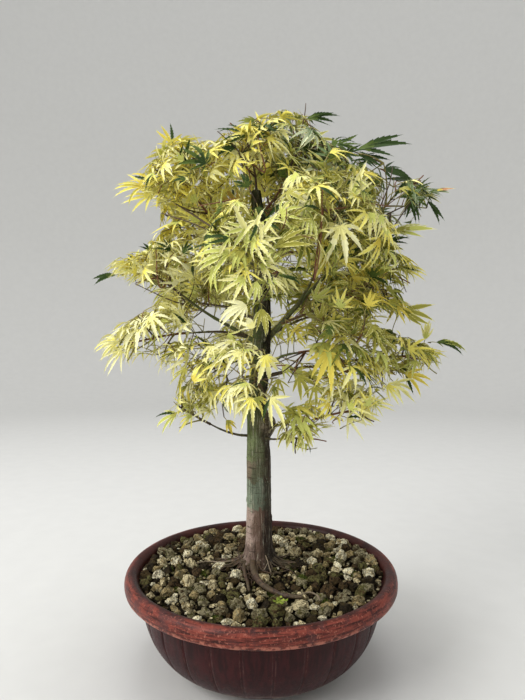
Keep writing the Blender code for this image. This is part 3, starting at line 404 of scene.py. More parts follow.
# Single leaves that stand out of the crown on a twig of their own, mass by mass: the twig's
# tip, the leaf's tone and length, the way that it points, across and up, and how far its
# lobes open
SHOOT_FACE = Vector((0.0, -0.9, 0.45))
SHOOT_LEAN = -0.15
SHOOT_STALK = 0.22
SHOOTS = {
    "upper_left": (
        ((-0.043, -0.062, 0.452), "green", 0.028, (-0.7, 0.55), 0.9),
        ((-0.062, -0.066, 0.440), "dark", 0.013, (-1.0, 0.30), 0.6),
        ((-0.102, -0.022, 0.448), "yellow", 0.034, (-1.0, 0.05), 0.5),
        ((-0.098, -0.020, 0.442), "yellow", 0.028, (-1.0, -0.30), 0.7),
        ((-0.096, -0.016, 0.452), "gold", 0.028, (-0.9, 0.30), 0.6),
        ((-0.082, -0.014, 0.487), "gold", 0.024, (-0.5, 0.90), 0.8),
    ),
    "top_left": (
        ((0.001, -0.010, 0.512), "moss", 0.022, (-1.0, 0.25), 0.5),
        ((-0.008, -0.046, 0.484), "dark", 0.031, (-1.0, 0.25), 0.6),
        ((-0.017, -0.046, 0.478), "dark", 0.024, (-1.0, -0.20), 0.5),
        ((-0.005, -0.046, 0.482), "dark", 0.016, (0.6, 0.80), 0.7),
        ((0.004, -0.046, 0.489), "dark", 0.016, (0.8, 0.50), 0.6),
        ((-0.010, -0.060, 0.433), "dark", 0.017, (-0.4, 0.80), 0.8),
        ((-0.004, -0.056, 0.424), "dark", 0.018, (0.3, -1.00), 0.8),
    ),
    "top_right": (
        ((0.037, -0.006, 0.519), "dark", 0.034, (1.0, 0.05), 0.4),
        ((0.036, -0.010, 0.518), "dark", 0.024, (-1.0, 0.05), 0.7),
        ((0.058, -0.050, 0.476), "dark", 0.022, (0.9, 0.30), 0.8),
        ((0.068, -0.050, 0.462), "sage", 0.024, (-0.8, 0.60), 0.9),
        ((0.050, -0.056, 0.452), "sage", 0.024, (0.9, -0.60), 0.9),
        ((0.076, -0.044, 0.448), "green", 0.022, (0.7, 0.70), 0.9),
        ((0.064, -0.040, 0.480), "green", 0.022, (1.0, 0.10), 0.6),
        ((0.072, -0.044, 0.470), "dark", 0.020, (0.9, 0.20), 0.8),
    ),
    "right_high": (
        ((0.082, -0.012, 0.488), "dark", 0.048, (1.0, -0.05), 0.32),
        ((0.093, -0.012, 0.484), "dark", 0.026, (0.9, -0.60), 0.6),
        ((0.102, -0.014, 0.464), "green", 0.022, (-0.6, -0.60), 0.7),
        ((0.128, -0.012, 0.440), "dark", 0.022, (1.0, 0.25), 0.3),
        ((0.110, -0.010, 0.474), "dark", 0.024, (-0.9, 0.45), 0.5),
        ((0.112, -0.010, 0.470), "dark", 0.025, (0.9, -0.15), 0.7),
        ((0.156, -0.002, 0.461), "dark", 0.034, (-1.0, -0.10), 0.4),
        ((0.141, -0.002, 0.450), "dark", 0.026, (0.3, -0.90), 0.4),
        ((0.160, 0.000, 0.446), "dark", 0.024, (0.6, -0.80), 0.15),
        ((0.157, 0.000, 0.450), "sage", 0.025, (1.0, 0.02), 0.12),
        ((0.166, 0.000, 0.451), "pink", 0.018, (1.0, 0.10), 0.1),
        ((0.120, -0.006, 0.410), "lime", 0.038, (1.0, 0.05), 0.25),
        ((0.112, -0.014, 0.396), "dark", 0.025, (1.0, 0.20), 0.4),
    ),
    "right_front": (
        ((0.062, -0.094, 0.402), "cream", 0.033, (0.2, -1.00), 0.95),
        ((0.070, -0.086, 0.412), "pale", 0.032, (0.45, 1.00), 0.35),
        ((0.050, -0.086, 0.412), "cream", 0.030, (-1.0, 0.30), 0.7),
    ),
    "front_centre": (
        ((0.008, -0.110, 0.354), "dark", 0.022, (1.0, -0.15), 0.12),
        ((0.000, -0.108, 0.332), "olive", 0.022, (0.1, -1.00), 0.5),
        ((-0.006, -0.108, 0.333), "cream", 0.028, (-0.9, -0.50), 0.6),
        ((-0.006, -0.112, 0.368), "pale", 0.038, (0.10, 1.00), 0.8),
        ((-0.016, -0.112, 0.371), "lime", 0.032, (-1.0, -0.15), 0.55),
        ((0.004, -0.112, 0.372), "olive", 0.034, (1.0, 0.35), 0.3),
        ((-0.008, -0.114, 0.354), "pale", 0.026, (-0.8, -0.60), 0.7),
        ((-0.002, -0.114, 0.352), "lime", 0.020, (-0.2, -1.00), 0.5),
        ((0.002, -0.112, 0.353), "pale", 0.020, (0.9, -0.70), 0.6),
    ),
    "right_mid": (
        ((0.126, -0.010, 0.372), "olive", 0.026, (1.0, 0.30), 0.7),
        ((0.130, -0.010, 0.374), "yellow", 0.026, (1.0, -0.10), 0.5),
        ((0.128, -0.012, 0.334), "olive", 0.032, (1.0, -0.15), 0.6),
        ((0.120, -0.016, 0.338), "gold", 0.026, (1.0, -0.15), 0.6),
    ),
    "left_mid": (
        ((-0.136, -0.002, 0.369), "dark", 0.026, (-1.0, -0.05), 0.15),
        ((-0.130, -0.006, 0.378), "dark", 0.012, (0.4, 0.80), 0.3),
        ((-0.106, -0.006, 0.390), "dark", 0.012, (-0.6, 0.70), 0.5),
        ((-0.080, -0.034, 0.384), "dark", 0.018, (-0.7, 0.50), 0.7),
        ((-0.074, -0.034, 0.382), "dark", 0.015, (0.6, 0.60), 0.7),
    ),
    "left_low": (
        ((-0.120, -0.050, 0.304), "pale", 0.027, (-1.0, -0.25), 0.6),
        ((-0.118, -0.052, 0.298), "cream", 0.025, (-0.8, -0.60), 0.8),
    ),
    "left_inner": (
        ((-0.034, -0.034, 0.234), "gold", 0.016, (0.5, -0.60), 0.5),
        ((-0.042, -0.034, 0.242), "cream", 0.020, (-0.8, -0.30), 0.7),
    ),
    "front_low": (
        ((0.004, -0.104, 0.262), "pale", 0.023, (0.6, -0.80), 0.8),
        ((-0.006, -0.104, 0.263), "pale", 0.023, (-0.3, -1.00), 0.8),
        ((0.002, -0.104, 0.296), "pale", 0.023, (0.3, -1.00), 0.8),
    ),
    "right_low": (
        ((0.024, -0.044, 0.266), "dark", 0.022, (1.0, 0.20), 0.15),
        ((0.030, -0.050, 0.276), "olive", 0.022, (0.5, -0.60), 0.9),
        ((0.046, -0.052, 0.268), "olive", 0.022, (0.2, -1.00), 0.9),
        ((0.016, -0.050, 0.274), "olive", 0.020, (-0.1, -1.00), 0.8),
        ((0.022, -0.030, 0.324), "olive", 0.020, (0.2, -1.00), 0.7),
        ((0.112, -0.030, 0.266), "pale", 0.024, (0.7, -0.60), 0.8),
        ((0.026, -0.030, 0.276), "yellow", 0.022, (1.0, -0.30), 0.7),
        ((0.016, -0.032, 0.284), "lime", 0.018, (0.8, -0.60), 0.6),
    ),
    "right_far": (
        ((0.164, 0.002, 0.303), "moss", 0.036, (1.0, 0.00), 0.2),
        ((0.134, -0.006, 0.274), "gold", 0.028, (0.9, -0.40), 0.7),
        ((0.124, -0.010, 0.268), "pale", 0.026, (0.6, -0.60), 0.8),
        ((0.160, 0.002, 0.301), "pale", 0.022, (0.2, 1.00), 0.3),
    ),
    "right_lowest": (
        ((0.072, -0.042, 0.236), "cream", 0.026, (0.5, -0.15), 0.9),
        ((0.084, -0.042, 0.238), "pale", 0.020, (0.9, -0.10), 0.7),
        ((0.098, -0.036, 0.246), "pale", 0.020, (1.0, 0.10), 0.7),
    ),
    "low_spray": (
        ((0.030, -0.050, 0.234), "pale", 0.027, (0.25, -1.00), 1.0),
        ((0.018, -0.036, 0.240), "lime", 0.021, (1.0, 0.15), 0.6),
        ((0.036, -0.034, 0.240), "pale", 0.020, (0.8, 0.50), 0.6),
    ),
    "left_lowest": (
        ((-0.074, -0.024, 0.238), "lime", 0.024, (-1.0, -0.35), 0.5),
        ((-0.062, -0.026, 0.238), "yellow", 0.018, (-0.6, -0.60), 0.6),
    ),
}
# Long bare twigs in front of the leaves, mass by mass: points, and the twig colour they take
STICKS = {
    "upper_left": (
        (((-0.028, -0.068, 0.385), (-0.034, -0.074, 0.395), (-0.043, -0.074, 0.417),
          (-0.052, -0.070, 0.428)), 2),
        (((-0.034, -0.074, 0.393), (-0.060, -0.078, 0.402), (-0.084, -0.072, 0.411)), 0),
        (((-0.020, -0.062, 0.425), (-0.036, -0.072, 0.420), (-0.053, -0.072, 0.417)), 1),
    ),
    "top_left": (
        (((-0.018, -0.044, 0.468), (-0.022, -0.048, 0.475), (-0.039, -0.046, 0.491)), 0),
        (((0.003, -0.044, 0.455), (0.000, -0.050, 0.470), (-0.003, -0.048, 0.487)), 1),
    ),
    "top_right": (
        (((0.027, -0.030, 0.465), (0.033, -0.034, 0.482), (0.040, -0.030, 0.512),
          (0.042, -0.020, 0.528)), 0),
    ),
    "right_high": (
        (((0.106, -0.030, 0.417), (0.119, -0.026, 0.449), (0.124, -0.020, 0.468)), 0),
        (((0.122, -0.020, 0.409), (0.140, -0.014, 0.433), (0.160, -0.006, 0.457)), 0),
    ),
    "right_front": (
        (((0.042, -0.094, 0.351), (0.047, -0.100, 0.377), (0.049, -0.096, 0.424)), 1),
    ),
    "left_mid": (
        (((-0.071, -0.022, 0.339), (-0.087, -0.024, 0.343), (-0.119, -0.020, 0.358)), 0),
        (((-0.092, -0.030, 0.352), (-0.094, -0.040, 0.362), (-0.096, -0.036, 0.388)), 1),
    ),
}
SHOOT_WIDTHS = (0.0008, 0.0004)
STICK_WIDTHS = (0.0009, 0.0004)


# Scene helpers

def mix(a, b, t):
    return a + (b - a) * t


def linear(colour):
    """An sRGB colour from 0 to 255 as linear light."""
    return tuple((c / 255 / 12.92 if c <= 10 else ((c / 255 + 0.055) / 1.055) ** 2.4)
                 for c in colour)


def outward(angle):
    """A level unit vector, turned so far about the upright axis."""
    return Vector((math.cos(angle), math.sin(angle), 0))


def any_way(rng):
    """A vector drawn from a cube."""
    return Vector([rng.uniform(-1, 1) for _ in range(3)])


def as_rows(points):
    """Points as the rows of an array."""
    return np.array([tuple(p) for p in points])


class Soup:
    """Points, faces and their material numbers, gathered up into one mesh."""

    def __init__(self):
        self.points = []
        self.faces = []
        self.slots = []
        self.count = 0

    def add(self, points, faces, slot=0):
        """faces is a list of point numbers; slot is one number or one for each face."""
        start = self.count
        self.points.append(np.asarray(points, float))
        self.count += len(points)
        self.faces += [tuple(start + i for i in face) for face in faces]
        self.slots += [slot] * len(faces) if isinstance(slot, int) else list(slot)

    def piece(self, name, materials, smooth=True):
        mesh = bpy.data.meshes.new(name)
        mesh.from_pydata(np.concatenate(self.points), [], self.faces)
        for material in materials:
            mesh.materials.append(material)
        mesh.polygons.foreach_set("material_index", self.slots)
        mesh.polygons.foreach_set("use_smooth", [smooth] * len(self.faces))
        mesh.update()
        obj = bpy.data.objects.new(name, mesh)
        bpy.context.scene.collection.objects.link(obj)
        return obj


def on_tree(obj, slot, *nodes):
    """The piece rides with the tree and stands for these nodes."""
    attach(obj, "root")
    if nodes:
        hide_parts(*nodes)


def ring_faces(rings, sides, closed_ends=True):
    """Faces of a tube whose rings follow one another in its list of points."""
    faces = []
    for k in range(rings - 1):
        for i in range(sides):
            j = (i + 1) % sides
            a = k * sides
            faces.append((a + i, a + j, a + sides + j, a + sides + i))
    if closed_ends:
        faces.append(tuple(range(sides))[::-1])
        faces.append(tuple(range((rings - 1) * sides, rings * sides)))
    return faces


def tube_rings(points, radii, sides, relief=None):
    """Rings of points round a line, turned as little as they can be from one to the next.
    relief(k, angle) gives what is added to the radius."""
    rings = []
    heading = (points[1] - points[0]).normalized()
    side = heading.cross(UP)
    if side.length < 1e-3:
        side = Vector((1, 0, 0))
    side.normalize()
    for k, (point, radius) in enumerate(zip(points, radii)):
        ahead = points[min(k + 1, len(points) - 1)] - points[max(k - 1, 0)]
        ahead.normalize()
        side = (side - ahead * side.dot(ahead)).normalized()
        other = ahead.cross(side)
        for i in range(sides):
            a = math.tau * i / sides
            r = radius + (relief(k, a) if relief else 0.0)
            rings.append(point + (side * math.cos(a) + other * math.sin(a)) * r)
    return rings


def add_tube(soup, points, radii, sides, slot=0, relief=None):
    rings = tube_rings(points, radii, sides, relief)
    soup.add(as_rows(rings), ring_faces(len(points), sides), slot)


def tapered(start, end, count):
    """So many values from start to end, evenly apart."""
    return [mix(start, end, k / (count - 1)) for k in range(count)]


def smooth_line(points, steps):
    """A smooth line through the points, with so many steps in each span."""
    padded = [points[0] * 2 - points[1]] + list(points) + [points[-1] * 2 - points[-2]]
    line = []
    for a, b, c, d in zip(padded, padded[1:], padded[2:], padded[3:]):
        for k in range(steps):
            t = k / steps
            line.append(0.5 * (b * 2 + (c - a) * t + (a * 2 - b * 5 + c * 4 - d) * t * t
                               + (b * 3 - a - c * 3 + d) * t**3))
    line.append(points[-1].copy())
    return line


def along_line(points, share):
    """The point at a share of a line's spans, and the way that the line runs there."""
    place = share * (len(points) - 1)
    k = min(int(place), len(points) - 2)
    ahead = (points[k + 1] - points[k]).normalized()
    return points[k].lerp(points[k + 1], place - k), ahead


# Materials

def new_material(name, colour=(128, 128, 128), roughness=0.5, specular=0.5):
    material = bpy.data.materials.new(name)
    material.use_nodes = True
    shader = material.node_tree.nodes["Principled BSDF"]
    shader.inputs["Base Color"].default_value = (*linear(colour), 1.0)
    shader.inputs["Roughness"].default_value = roughness
    shader.inputs["Specular IOR Level"].default_value = specular
    return material


class Nodes:
    """Short names for the few kinds of node that the patterns are made of."""

    def __init__(self, material):
        self.tree = material.node_tree
        self.shader = self.tree.nodes["Principled BSDF"]
        self.place = self.new("TexCoord").outputs["Object"]

    def new(self, kind, vector=None, **inputs):
        """A node of a kind, fed with a vector, and with numbers on the inputs of those names."""
        node = self.tree.nodes.new("ShaderNode" + kind)
        if vector is not None:
            self.tree.links.new(vector, node.inputs["Vector"])
        for name, value in inputs.items():
            node.inputs[name].default_value = value
        return node

    def link(self, value, socket):
        if isinstance(value, (int, float)):
            socket.default_value = value
        elif isinstance(value, tuple):
            socket.default_value = (*linear(value), 1.0)
        else:
            self.tree.links.new(value, socket)

    def stretched(self, x, y, z):
        return self.new("Mapping", self.place, Scale=(x, y, z)).outputs["Vector"]

    def noise(self, scale, detail=4.0, roughness=0.55, where=None):
        return self.new("TexNoise", where or self.place, Scale=scale, Detail=detail,
                        Roughness=roughness).outputs["Fac"]

    def cells(self, scale):
        return self.new("TexVoronoi", self.place, Scale=scale).outputs["Distance"]

    def distance(self, place):
        node = self.new("VectorMath", self.place)
        node.operation = "DISTANCE"
        node.inputs[1].default_value = place
        return node.outputs["Value"]

    def from_axis(self):
        """Distance from the upright axis."""
        node = self.new("VectorMath", self.stretched(1, 1, 0))
        node.operation = "LENGTH"
        return node.outputs["Value"]

    def coordinate(self, axis):
        return self.new("SeparateXYZ", self.place).outputs[axis]

    def ramp(self, value, low, high, out_low=0.0, out_high=1.0):
        """value from low to high, smoothly, as out_low to out_high."""
        node = self.new("MapRange", **{"From Min": low, "From Max": high, "To Min": out_low,
                                       "To Max": out_high})
        node.interpolation_type = "SMOOTHSTEP"
        self.link(value, node.inputs["Value"])
        return node.outputs["Result"]

    def math(self, operation, a, b=None, c=None):
        node = self.new("Math")
        node.operation = operation
        for value, socket in zip((a, b, c), node.inputs):
            if value is not None:
                self.link(value, socket)
        return node.outputs[0]

    def blend(self, share, a, b):
        node = self.new("Mix")
        node.data_type = "RGBA"
        self.link(share, node.inputs["Factor"])
        self.link(a, node.inputs[6])
        self.link(b, node.inputs[7])
        return node.outputs[2]

    def coats(self, colour, *coats):
        """Coats laid over a colour in turn. Each has a pattern, two of its values, how much of
        the coat shows at each, and a tone."""
        for pattern, low, high, at_low, at_high, tone in coats:
            colour = self.blend(self.ramp(pattern, low, high, at_low, at_high), colour, tone)
        return colour

    def finish(self, colour=None, roughness=None, height=None, strength=0.3, distance=0.001):
        if colour is not None:
            self.link(colour, self.shader.inputs["Base Color"])
        if roughness is not None:
            self.link(roughness, self.shader.inputs["Roughness"])
        if height is not None:
            bump = self.new("Bump", Strength=strength, Distance=distance)
            self.link(height, bump.inputs["Height"])
            self.tree.links.new(bump.outputs["Normal"], self.shader.inputs["Normal"])


# The trunk's bands, from the ground up: height where each ends, then its colours on the lit
# side, in the middle and on the shaded side
BARK_BANDS = (
    (0.106, (124, 104, 94), (84, 66, 56), (42, 34, 28)),
    (0.142, (176, 154, 142), (104, 82, 70), (52, 40, 34)),
    (0.170, (134, 146, 124), (100, 110, 92), (62, 60, 48)),
    (0.189, (130, 116, 96), (88, 90, 68), (58, 46, 36)),
    (0.212, (126, 138, 94), (98, 104, 74), (56, 48, 38)),
    (0.238, (104, 118, 66), (88, 90, 60), (62, 54, 42)),
    (0.330, (84, 98, 48), (60, 70, 34), (32, 28, 18)),
    (0.460, (70, 78, 40), (50, 54, 28), (30, 26, 16)),
)
KNOB_PLACE = (0.0075, -0.004, COLLAR_HEIGHT)
KNOB_SIZE = 0.0125


def trunk_material():
    """Streaked bark in ragged bands of green, grey and brown, pale on the lit side, with fine
    cracks across it, specks, and a grey brown knob where a bough was cut."""
    material = new_material("trunk_bark", roughness=0.78, specular=0.22)
    n = Nodes(material)
    streaks = n.noise(1.0, 6.0, 0.65, n.stretched(700, 700, 34))
    broad = n.noise(1.0, 3.0, 0.6, n.stretched(150, 150, 60))
    patches = n.noise(240, 4.0, 0.65)
    specks = n.noise(900, 3.0, 0.6)
    cracks = n.noise(1.0, 3.0, 0.55, n.stretched(60, 60, 760))
    x = n.math("ADD", n.coordinate("X"), n.ramp(broad, 0.2, 0.8, 0.0155, 0.0245))
    to_middle = n.ramp(x, 0.0085, 0.0150)
    to_shade = n.ramp(x, 0.0190, 0.0260)
    z = n.math("ADD", n.coordinate("Z"), n.ramp(broad, 0.2, 0.8, -0.0060, 0.0060))
    z = n.math("ADD", z, n.ramp(patches, 0.3, 0.7, -0.0025, 0.0025))
    colour = None
    start = 0.0
    for end, lit, middle, shade in BARK_BANDS:
        band = n.blend(to_shade, n.blend(to_middle, lit, middle), shade)
        colour = band if colour is None else n.blend(n.ramp(z, start - 0.0022, start + 0.0022),
                                                     colour, band)
        start = end
    knob = n.blend(n.ramp(patches, 0.35, 0.62), (60, 50, 40), (128, 116, 96))
    colour = n.coats(colour, (patches, 0.52, 0.66, 0.0, 0.45, (96, 82, 66)),
                     (n.distance(KNOB_PLACE), KNOB_SIZE * 0.75, KNOB_SIZE, 0.85, 0.0, knob),
                     (streaks, 0.50, 0.66, 0.0, 0.65, (44, 40, 28)),
                     (streaks, 0.32, 0.45, 0.55, 0.0, (188, 184, 162)),
                     (cracks, 0.60, 0.68, 0.0, 0.65, (52, 44, 34)),
                     (specks, 0.56, 0.66, 0.0, 0.60, (48, 44, 34)))
    height = n.math("ADD", n.math("MULTIPLY", streaks, 0.5), n.math("MULTIPLY", patches, 0.5))
    n.finish(colour, n.ramp(streaks, 0.3, 0.7, 0.68, 0.86), height, 0.8, 0.0012)
    return material


def limb_material(name, dark, light, moss):
    """Bark of the thinner limbs: streaks along them, spots and a little green."""
    material = new_material(name, roughness=0.62, specular=0.35)
    n = Nodes(material)
    mottle = n.noise(420, 4.0, 0.6)
    broad = n.noise(60, 2.0, 0.5)
    spots = n.cells(700)
    colour = n.blend(n.ramp(mottle, 0.35, 0.65), dark, light)
    colour = n.coats(colour, (broad, 0.45, 0.62, 0.0, 0.7, moss),
                     (spots, 0.10, 0.22, 0.35, 0.0, (150, 140, 118)))
    n.finish(colour, n.ramp(mottle, 0.3, 0.7, 0.52, 0.75), mottle, 0.4, 0.0004)
    return material


def glaze_material():
    """Dark red brown satin glaze. The rim is dark glaze inside, darkened further as painted shade,
    and worn to bare red clay outside, with pale chips along its lower edge that also paint a
    highlight there; thin painted highlight lines run beside the grooves, and lime gathers at the
    foot."""
    material = new_material("bowl_glaze", roughness=0.4, specular=0.17)
    n = Nodes(material)
    z = n.coordinate("Z")
    far = n.from_axis()
    streaks = n.noise(1.0, 5.0, 0.6, n.stretched(300, 300, 14))
    cloud = n.noise(30, 5.0, 0.6)
    patches = n.noise(62, 4.0, 0.6)
    fine = n.noise(560, 4.0, 0.65)
    spots = n.noise(210, 3.0, 0.55)
    wall = n.blend(n.ramp(streaks, 0.34, 0.66), (38, 14, 15), (60, 22, 23))
    wall = n.coats(wall, (cloud, 0.45, 0.70, 0.0, 0.6, (52, 22, 26)),
                   (fine, 0.60, 0.72, 0.0, 0.35, (98, 64, 62)))
    turn = n.math("ARCTAN2", n.coordinate("Y"), n.coordinate("X"))
    turn = n.math("MULTIPLY_ADD", turn, FLUTES / math.tau, 0.5 - GROOVE_TURN * FLUTES / math.tau)
    beside = n.math("ABSOLUTE", n.math("MULTIPLY_ADD", n.math("FRACT", turn), 1.0, -0.5))
    # Thin pale lines on both sides of each groove: a painted highlight, broken up by spots.
    edge = n.math("MULTIPLY", n.ramp(beside, 0.02, 0.04), n.ramp(beside, 0.05, 0.08, 0.5, 0.0))
    wall = n.blend(n.math("MULTIPLY", edge, n.ramp(spots, 0.40, 0.66, 0.0, 0.7)), wall,
                   (112, 78, 72))
    # Inside of the rim: dark glaze, deepened as painted shade, out to the crest where the worn
    # outside begins.
    inner = n.blend(n.ramp(cloud, 0.35, 0.65), (42, 20, 18), (72, 36, 32))
    along = n.noise(1.0, 5.0, 0.65, n.stretched(46, 46, 620))
    outer = n.blend(n.ramp(along, 0.36, 0.62), (52, 25, 23), (130, 62, 51))
    outer = n.coats(outer, (patches, 0.50, 0.62, 0.0, 0.70, (74, 48, 48)),
                    (fine, 0.56, 0.67, 0.0, 0.60, (176, 112, 94)),
                    (fine, 0.30, 0.42, 0.60, 0.0, (48, 24, 22)))
    rim = n.blend(n.ramp(n.math("MULTIPLY_ADD", patches, 0.004, far), 0.1235, 0.1285),
                  inner, outer)
    rim = n.blend(n.ramp(spots, 0.60, 0.68, 0.0, 0.7), rim, (52, 30, 30))
    low = POT_HEIGHT - RIM_DEPTH
    # Pale pink along the rim's lower edge: real chips, and also a painted highlight on that edge.
    chips_and_highlight = n.math("MULTIPLY", n.ramp(z, low + 0.0035, low + 0.0060, 1.0, 0.0),
                     n.ramp(spots, 0.46, 0.58))
    rim = n.blend(n.math("MULTIPLY", chips_and_highlight, 0.75), rim, (188, 118, 98))
    colour = n.blend(n.ramp(far, BOWL_TOP_RADIUS + 0.0006, BOWL_TOP_RADIUS + 0.0016), wall, rim)
    lime_line = n.math("MULTIPLY", n.ramp(z, 0.004, 0.007), n.ramp(z, 0.010, 0.022, 1.0, 0.0))
    lime = n.math("MULTIPLY", lime_line, n.ramp(n.noise(120, 4.0, 0.6), 0.42, 0.60))
    colour = n.blend(n.math("MULTIPLY", lime, 0.8), colour, (158, 138, 128))
    roughness = n.ramp(n.math("ADD", n.math("MULTIPLY", fine, 0.5), n.math("MULTIPLY", cloud, 0.5)),
                       0.35, 0.65, 0.34, 0.58)
    n.finish(colour, roughness, n.math("ADD", n.math("MULTIPLY", streaks, 0.6),
                                       n.math("MULTIPLY", fine, 0.4)), 0.22, 0.0008)
    return material


def bed_material():
    """Dark grit and soil under the stones, made near black as painted shade in the gaps between
    them, with olive damp patches.
    """
    material = new_material("gravel_bed", roughness=0.95, specular=0.15)
    n = Nodes(material)
    grit = n.noise(480, 5.0, 0.7)
    damp = n.noise(70, 3.0, 0.5)
    # Near black grit: soil colour deepened as painted shade for the gaps between the stones.
    colour = n.blend(n.ramp(grit, 0.35, 0.65), (14, 11, 7), (44, 34, 22))
    colour = n.blend(n.ramp(damp, 0.50, 0.64, 0.0, 0.5), colour, (48, 48, 22))
    n.finish(colour, None, grit, 0.8, 0.002)
    return material


def stone_material(name, colour):
    """Crumbly pumice: pits darkened as painted shade, and paler grains."""
    material = new_material("stone_" + name, roughness=0.95, specular=0.15)
    n = Nodes(material)
    pits = n.noise(640, 4.0, 0.65)
    grains = n.noise(1500, 2.0, 0.5)
    stain = n.noise(170, 3.0, 0.5)
    # Pits darkened to four tenths of the stone's tone as painted shade.
    dark = tuple(c * 0.40 for c in colour)
    pale = tuple(min(250, c * 1.14 + 8) for c in colour)
    shade = n.blend(n.ramp(pits, 0.36, 0.58), dark, colour)
    shade = n.blend(n.ramp(grains, 0.52, 0.68), shade, pale)
    shade = n.blend(n.ramp(stain, 0.49, 0.62, 0.0, 0.66), shade, (62, 52, 30))
    n.finish(shade, None, pits, 0.7, 0.0012)
    return material


def floor_material():
    material = new_material("pale_floor", roughness=0.85, specular=0.2)
    n = Nodes(material)
    n.finish(n.blend(n.noise(30, 3.0, 0.5), (209, 209, 207), (216, 216, 214)))
    return material


# Tones of the foliage, dealt out by spray: colour, the paler tone of a leaf's tips and teeth,
# and the tones that its heart may take
Tone = namedtuple("Tone", "colour paler deeper")
TONES = {name: Tone(*row) for name, *row in (
    ("cream", (243, 240, 188), "cream", ("cream", "pale", "pale")),
    ("pale", (236, 231, 154), "cream", ("pale", "yellow", "lime")),
    ("yellow", (240, 230, 116), "pale", ("yellow", "gold", "lime")),
    ("gold", (228, 210, 92), "yellow", ("gold", "gold", "olive")),
    ("amber", (194, 166, 78), "gold", ("amber", "gold")),
    ("lime", (206, 210, 114), "cream", ("lime", "lime", "olive")),
    ("olive", (168, 164, 74), "pale", ("olive", "moss")),
    ("moss", (124, 130, 54), "lime", ("moss", "green")),
    ("green", (86, 104, 46), "green", ("dark", "green")),
    ("dark", (54, 74, 34), "dark", ("dark", "green")),
    ("silver", (206, 214, 178), "cream", ("silver", "sage")),
    ("sage", (128, 150, 106), "silver", ("green", "sage")),
    ("pink", (206, 150, 118), "pale", ("gold", "pink")),
)}
TONE_NAMES = list(TONES)
# The palette of the masses on the left, towards the window light, is paler as painted light; the
# shaded one, of masses on the right, is darker as painted shade.
PALETTES = {
    "golden": {"gold": 14, "yellow": 44, "pale": 38, "amber": 2, "olive": 2},
    "bright": {"cream": 44, "pale": 42, "yellow": 10, "lime": 4},
    "creamy": {"cream": 24, "pale": 34, "yellow": 24, "lime": 8, "olive": 10},
    "mixed": {"pale": 26, "yellow": 24, "gold": 4, "lime": 16, "olive": 18, "cream": 6, "moss": 6},
    "star": {"pale": 28, "lime": 24, "yellow": 14, "olive": 24, "moss": 10},
    "shaded": {"gold": 14, "lime": 14, "olive": 30, "yellow": 20, "moss": 13, "pale": 10},
    "green_top": {"lime": 10, "olive": 18, "yellow": 5, "pale": 9, "silver": 14, "sage": 16,
                  "green": 16, "dark": 12},
}
PALE_MARGIN_SHARE = 0.7
DARK_LOBE_SHARE = 0.025

LEAF_ROUGHNESS = 0.55
LEAF_SPECULAR = 0.16
# Plain looks of the small parts: name, colour, roughness, specular
STALK_LOOK = ("leaf_stalk", (150, 140, 78), 0.5, 0.35)
TWIG_LOOKS = (("twig_dark", (78, 62, 46), 0.6, 0.35), ("twig_red", (124, 82, 58), 0.55, 0.35),
              ("twig_green", (134, 126, 66), 0.55, 0.35))
MOSS_LOOKS = (("moss_green", (72, 88, 30), 0.8, 0.2), ("moss_olive", (96, 100, 38), 0.8, 0.2),
              ("moss_dark", (44, 54, 22), 0.8, 0.2), ("weed_leaf", (118, 134, 44), 0.6, 0.25),
              ("weed_leaf_pale", (158, 170, 74), 0.6, 0.25))
# Bark of the thinner limbs: name, dark and light tone, and the green that grows on it
ROOT_LOOKS = (("root_bark", (48, 36, 28), (100, 78, 62), (84, 74, 54)),
              ("thin_root_bark", (96, 84, 68), (150, 134, 112), (120, 108, 84)))
BOUGH_LOOKS = {"brown": ("bough_bark", (58, 46, 36), (92, 78, 58), (84, 88, 50)),
               "red": ("red_bough_bark", (86, 52, 40), (124, 84, 60), (96, 92, 54)),
               "green": ("green_bough_bark", (64, 62, 36), (104, 104, 62), (86, 98, 50))}


def leaf_materials():
    made = [new_material("leaf_" + name, tone.colour, LEAF_ROUGHNESS, LEAF_SPECULAR)
            for name, tone in TONES.items()]
    return made + [new_material(*STALK_LOOK)]


# Trunk, roots and boughs

def trunk_at(z):
    """Centre and radius of the trunk at a height, on a smooth curve through its stations."""
    rows = TRUNK_STATIONS
    z = min(max(z, rows[0][0]), rows[-1][0])
    i = max(k for k in range(len(rows) - 1) if rows[k][0] <= z + 1e-9)
    t = (z - rows[i][0]) / (rows[i + 1][0] - rows[i][0])
    t = t * t * (3 - 2 * t)
    x, y, radius = (mix(rows[i][c], rows[i + 1][c], t) for c in (1, 2, 3))
    return Vector((x, y, z)), radius


def trunk_radius(z, angle):
    """The trunk's radius in one direction: root flare at its foot, and the branch collar."""
    _, radius = trunk_at(z)
    flare = FLARE_RADIUS * math.exp(-(z - GROUND) / FLARE_HEIGHT)
    radius += flare * (FLARE_SHARE + FLARE_WAVE * math.sin(FLARE_LOBES * angle + FLARE_TURN))
    side = math.cos(angle)
    if side > 0:
        rise = (z - COLLAR_HEIGHT) / COLLAR_SPREAD
        radius += COLLAR_SIZE * side**2 * math.exp(-abs(rise) ** COLLAR_POWER)
    return radius


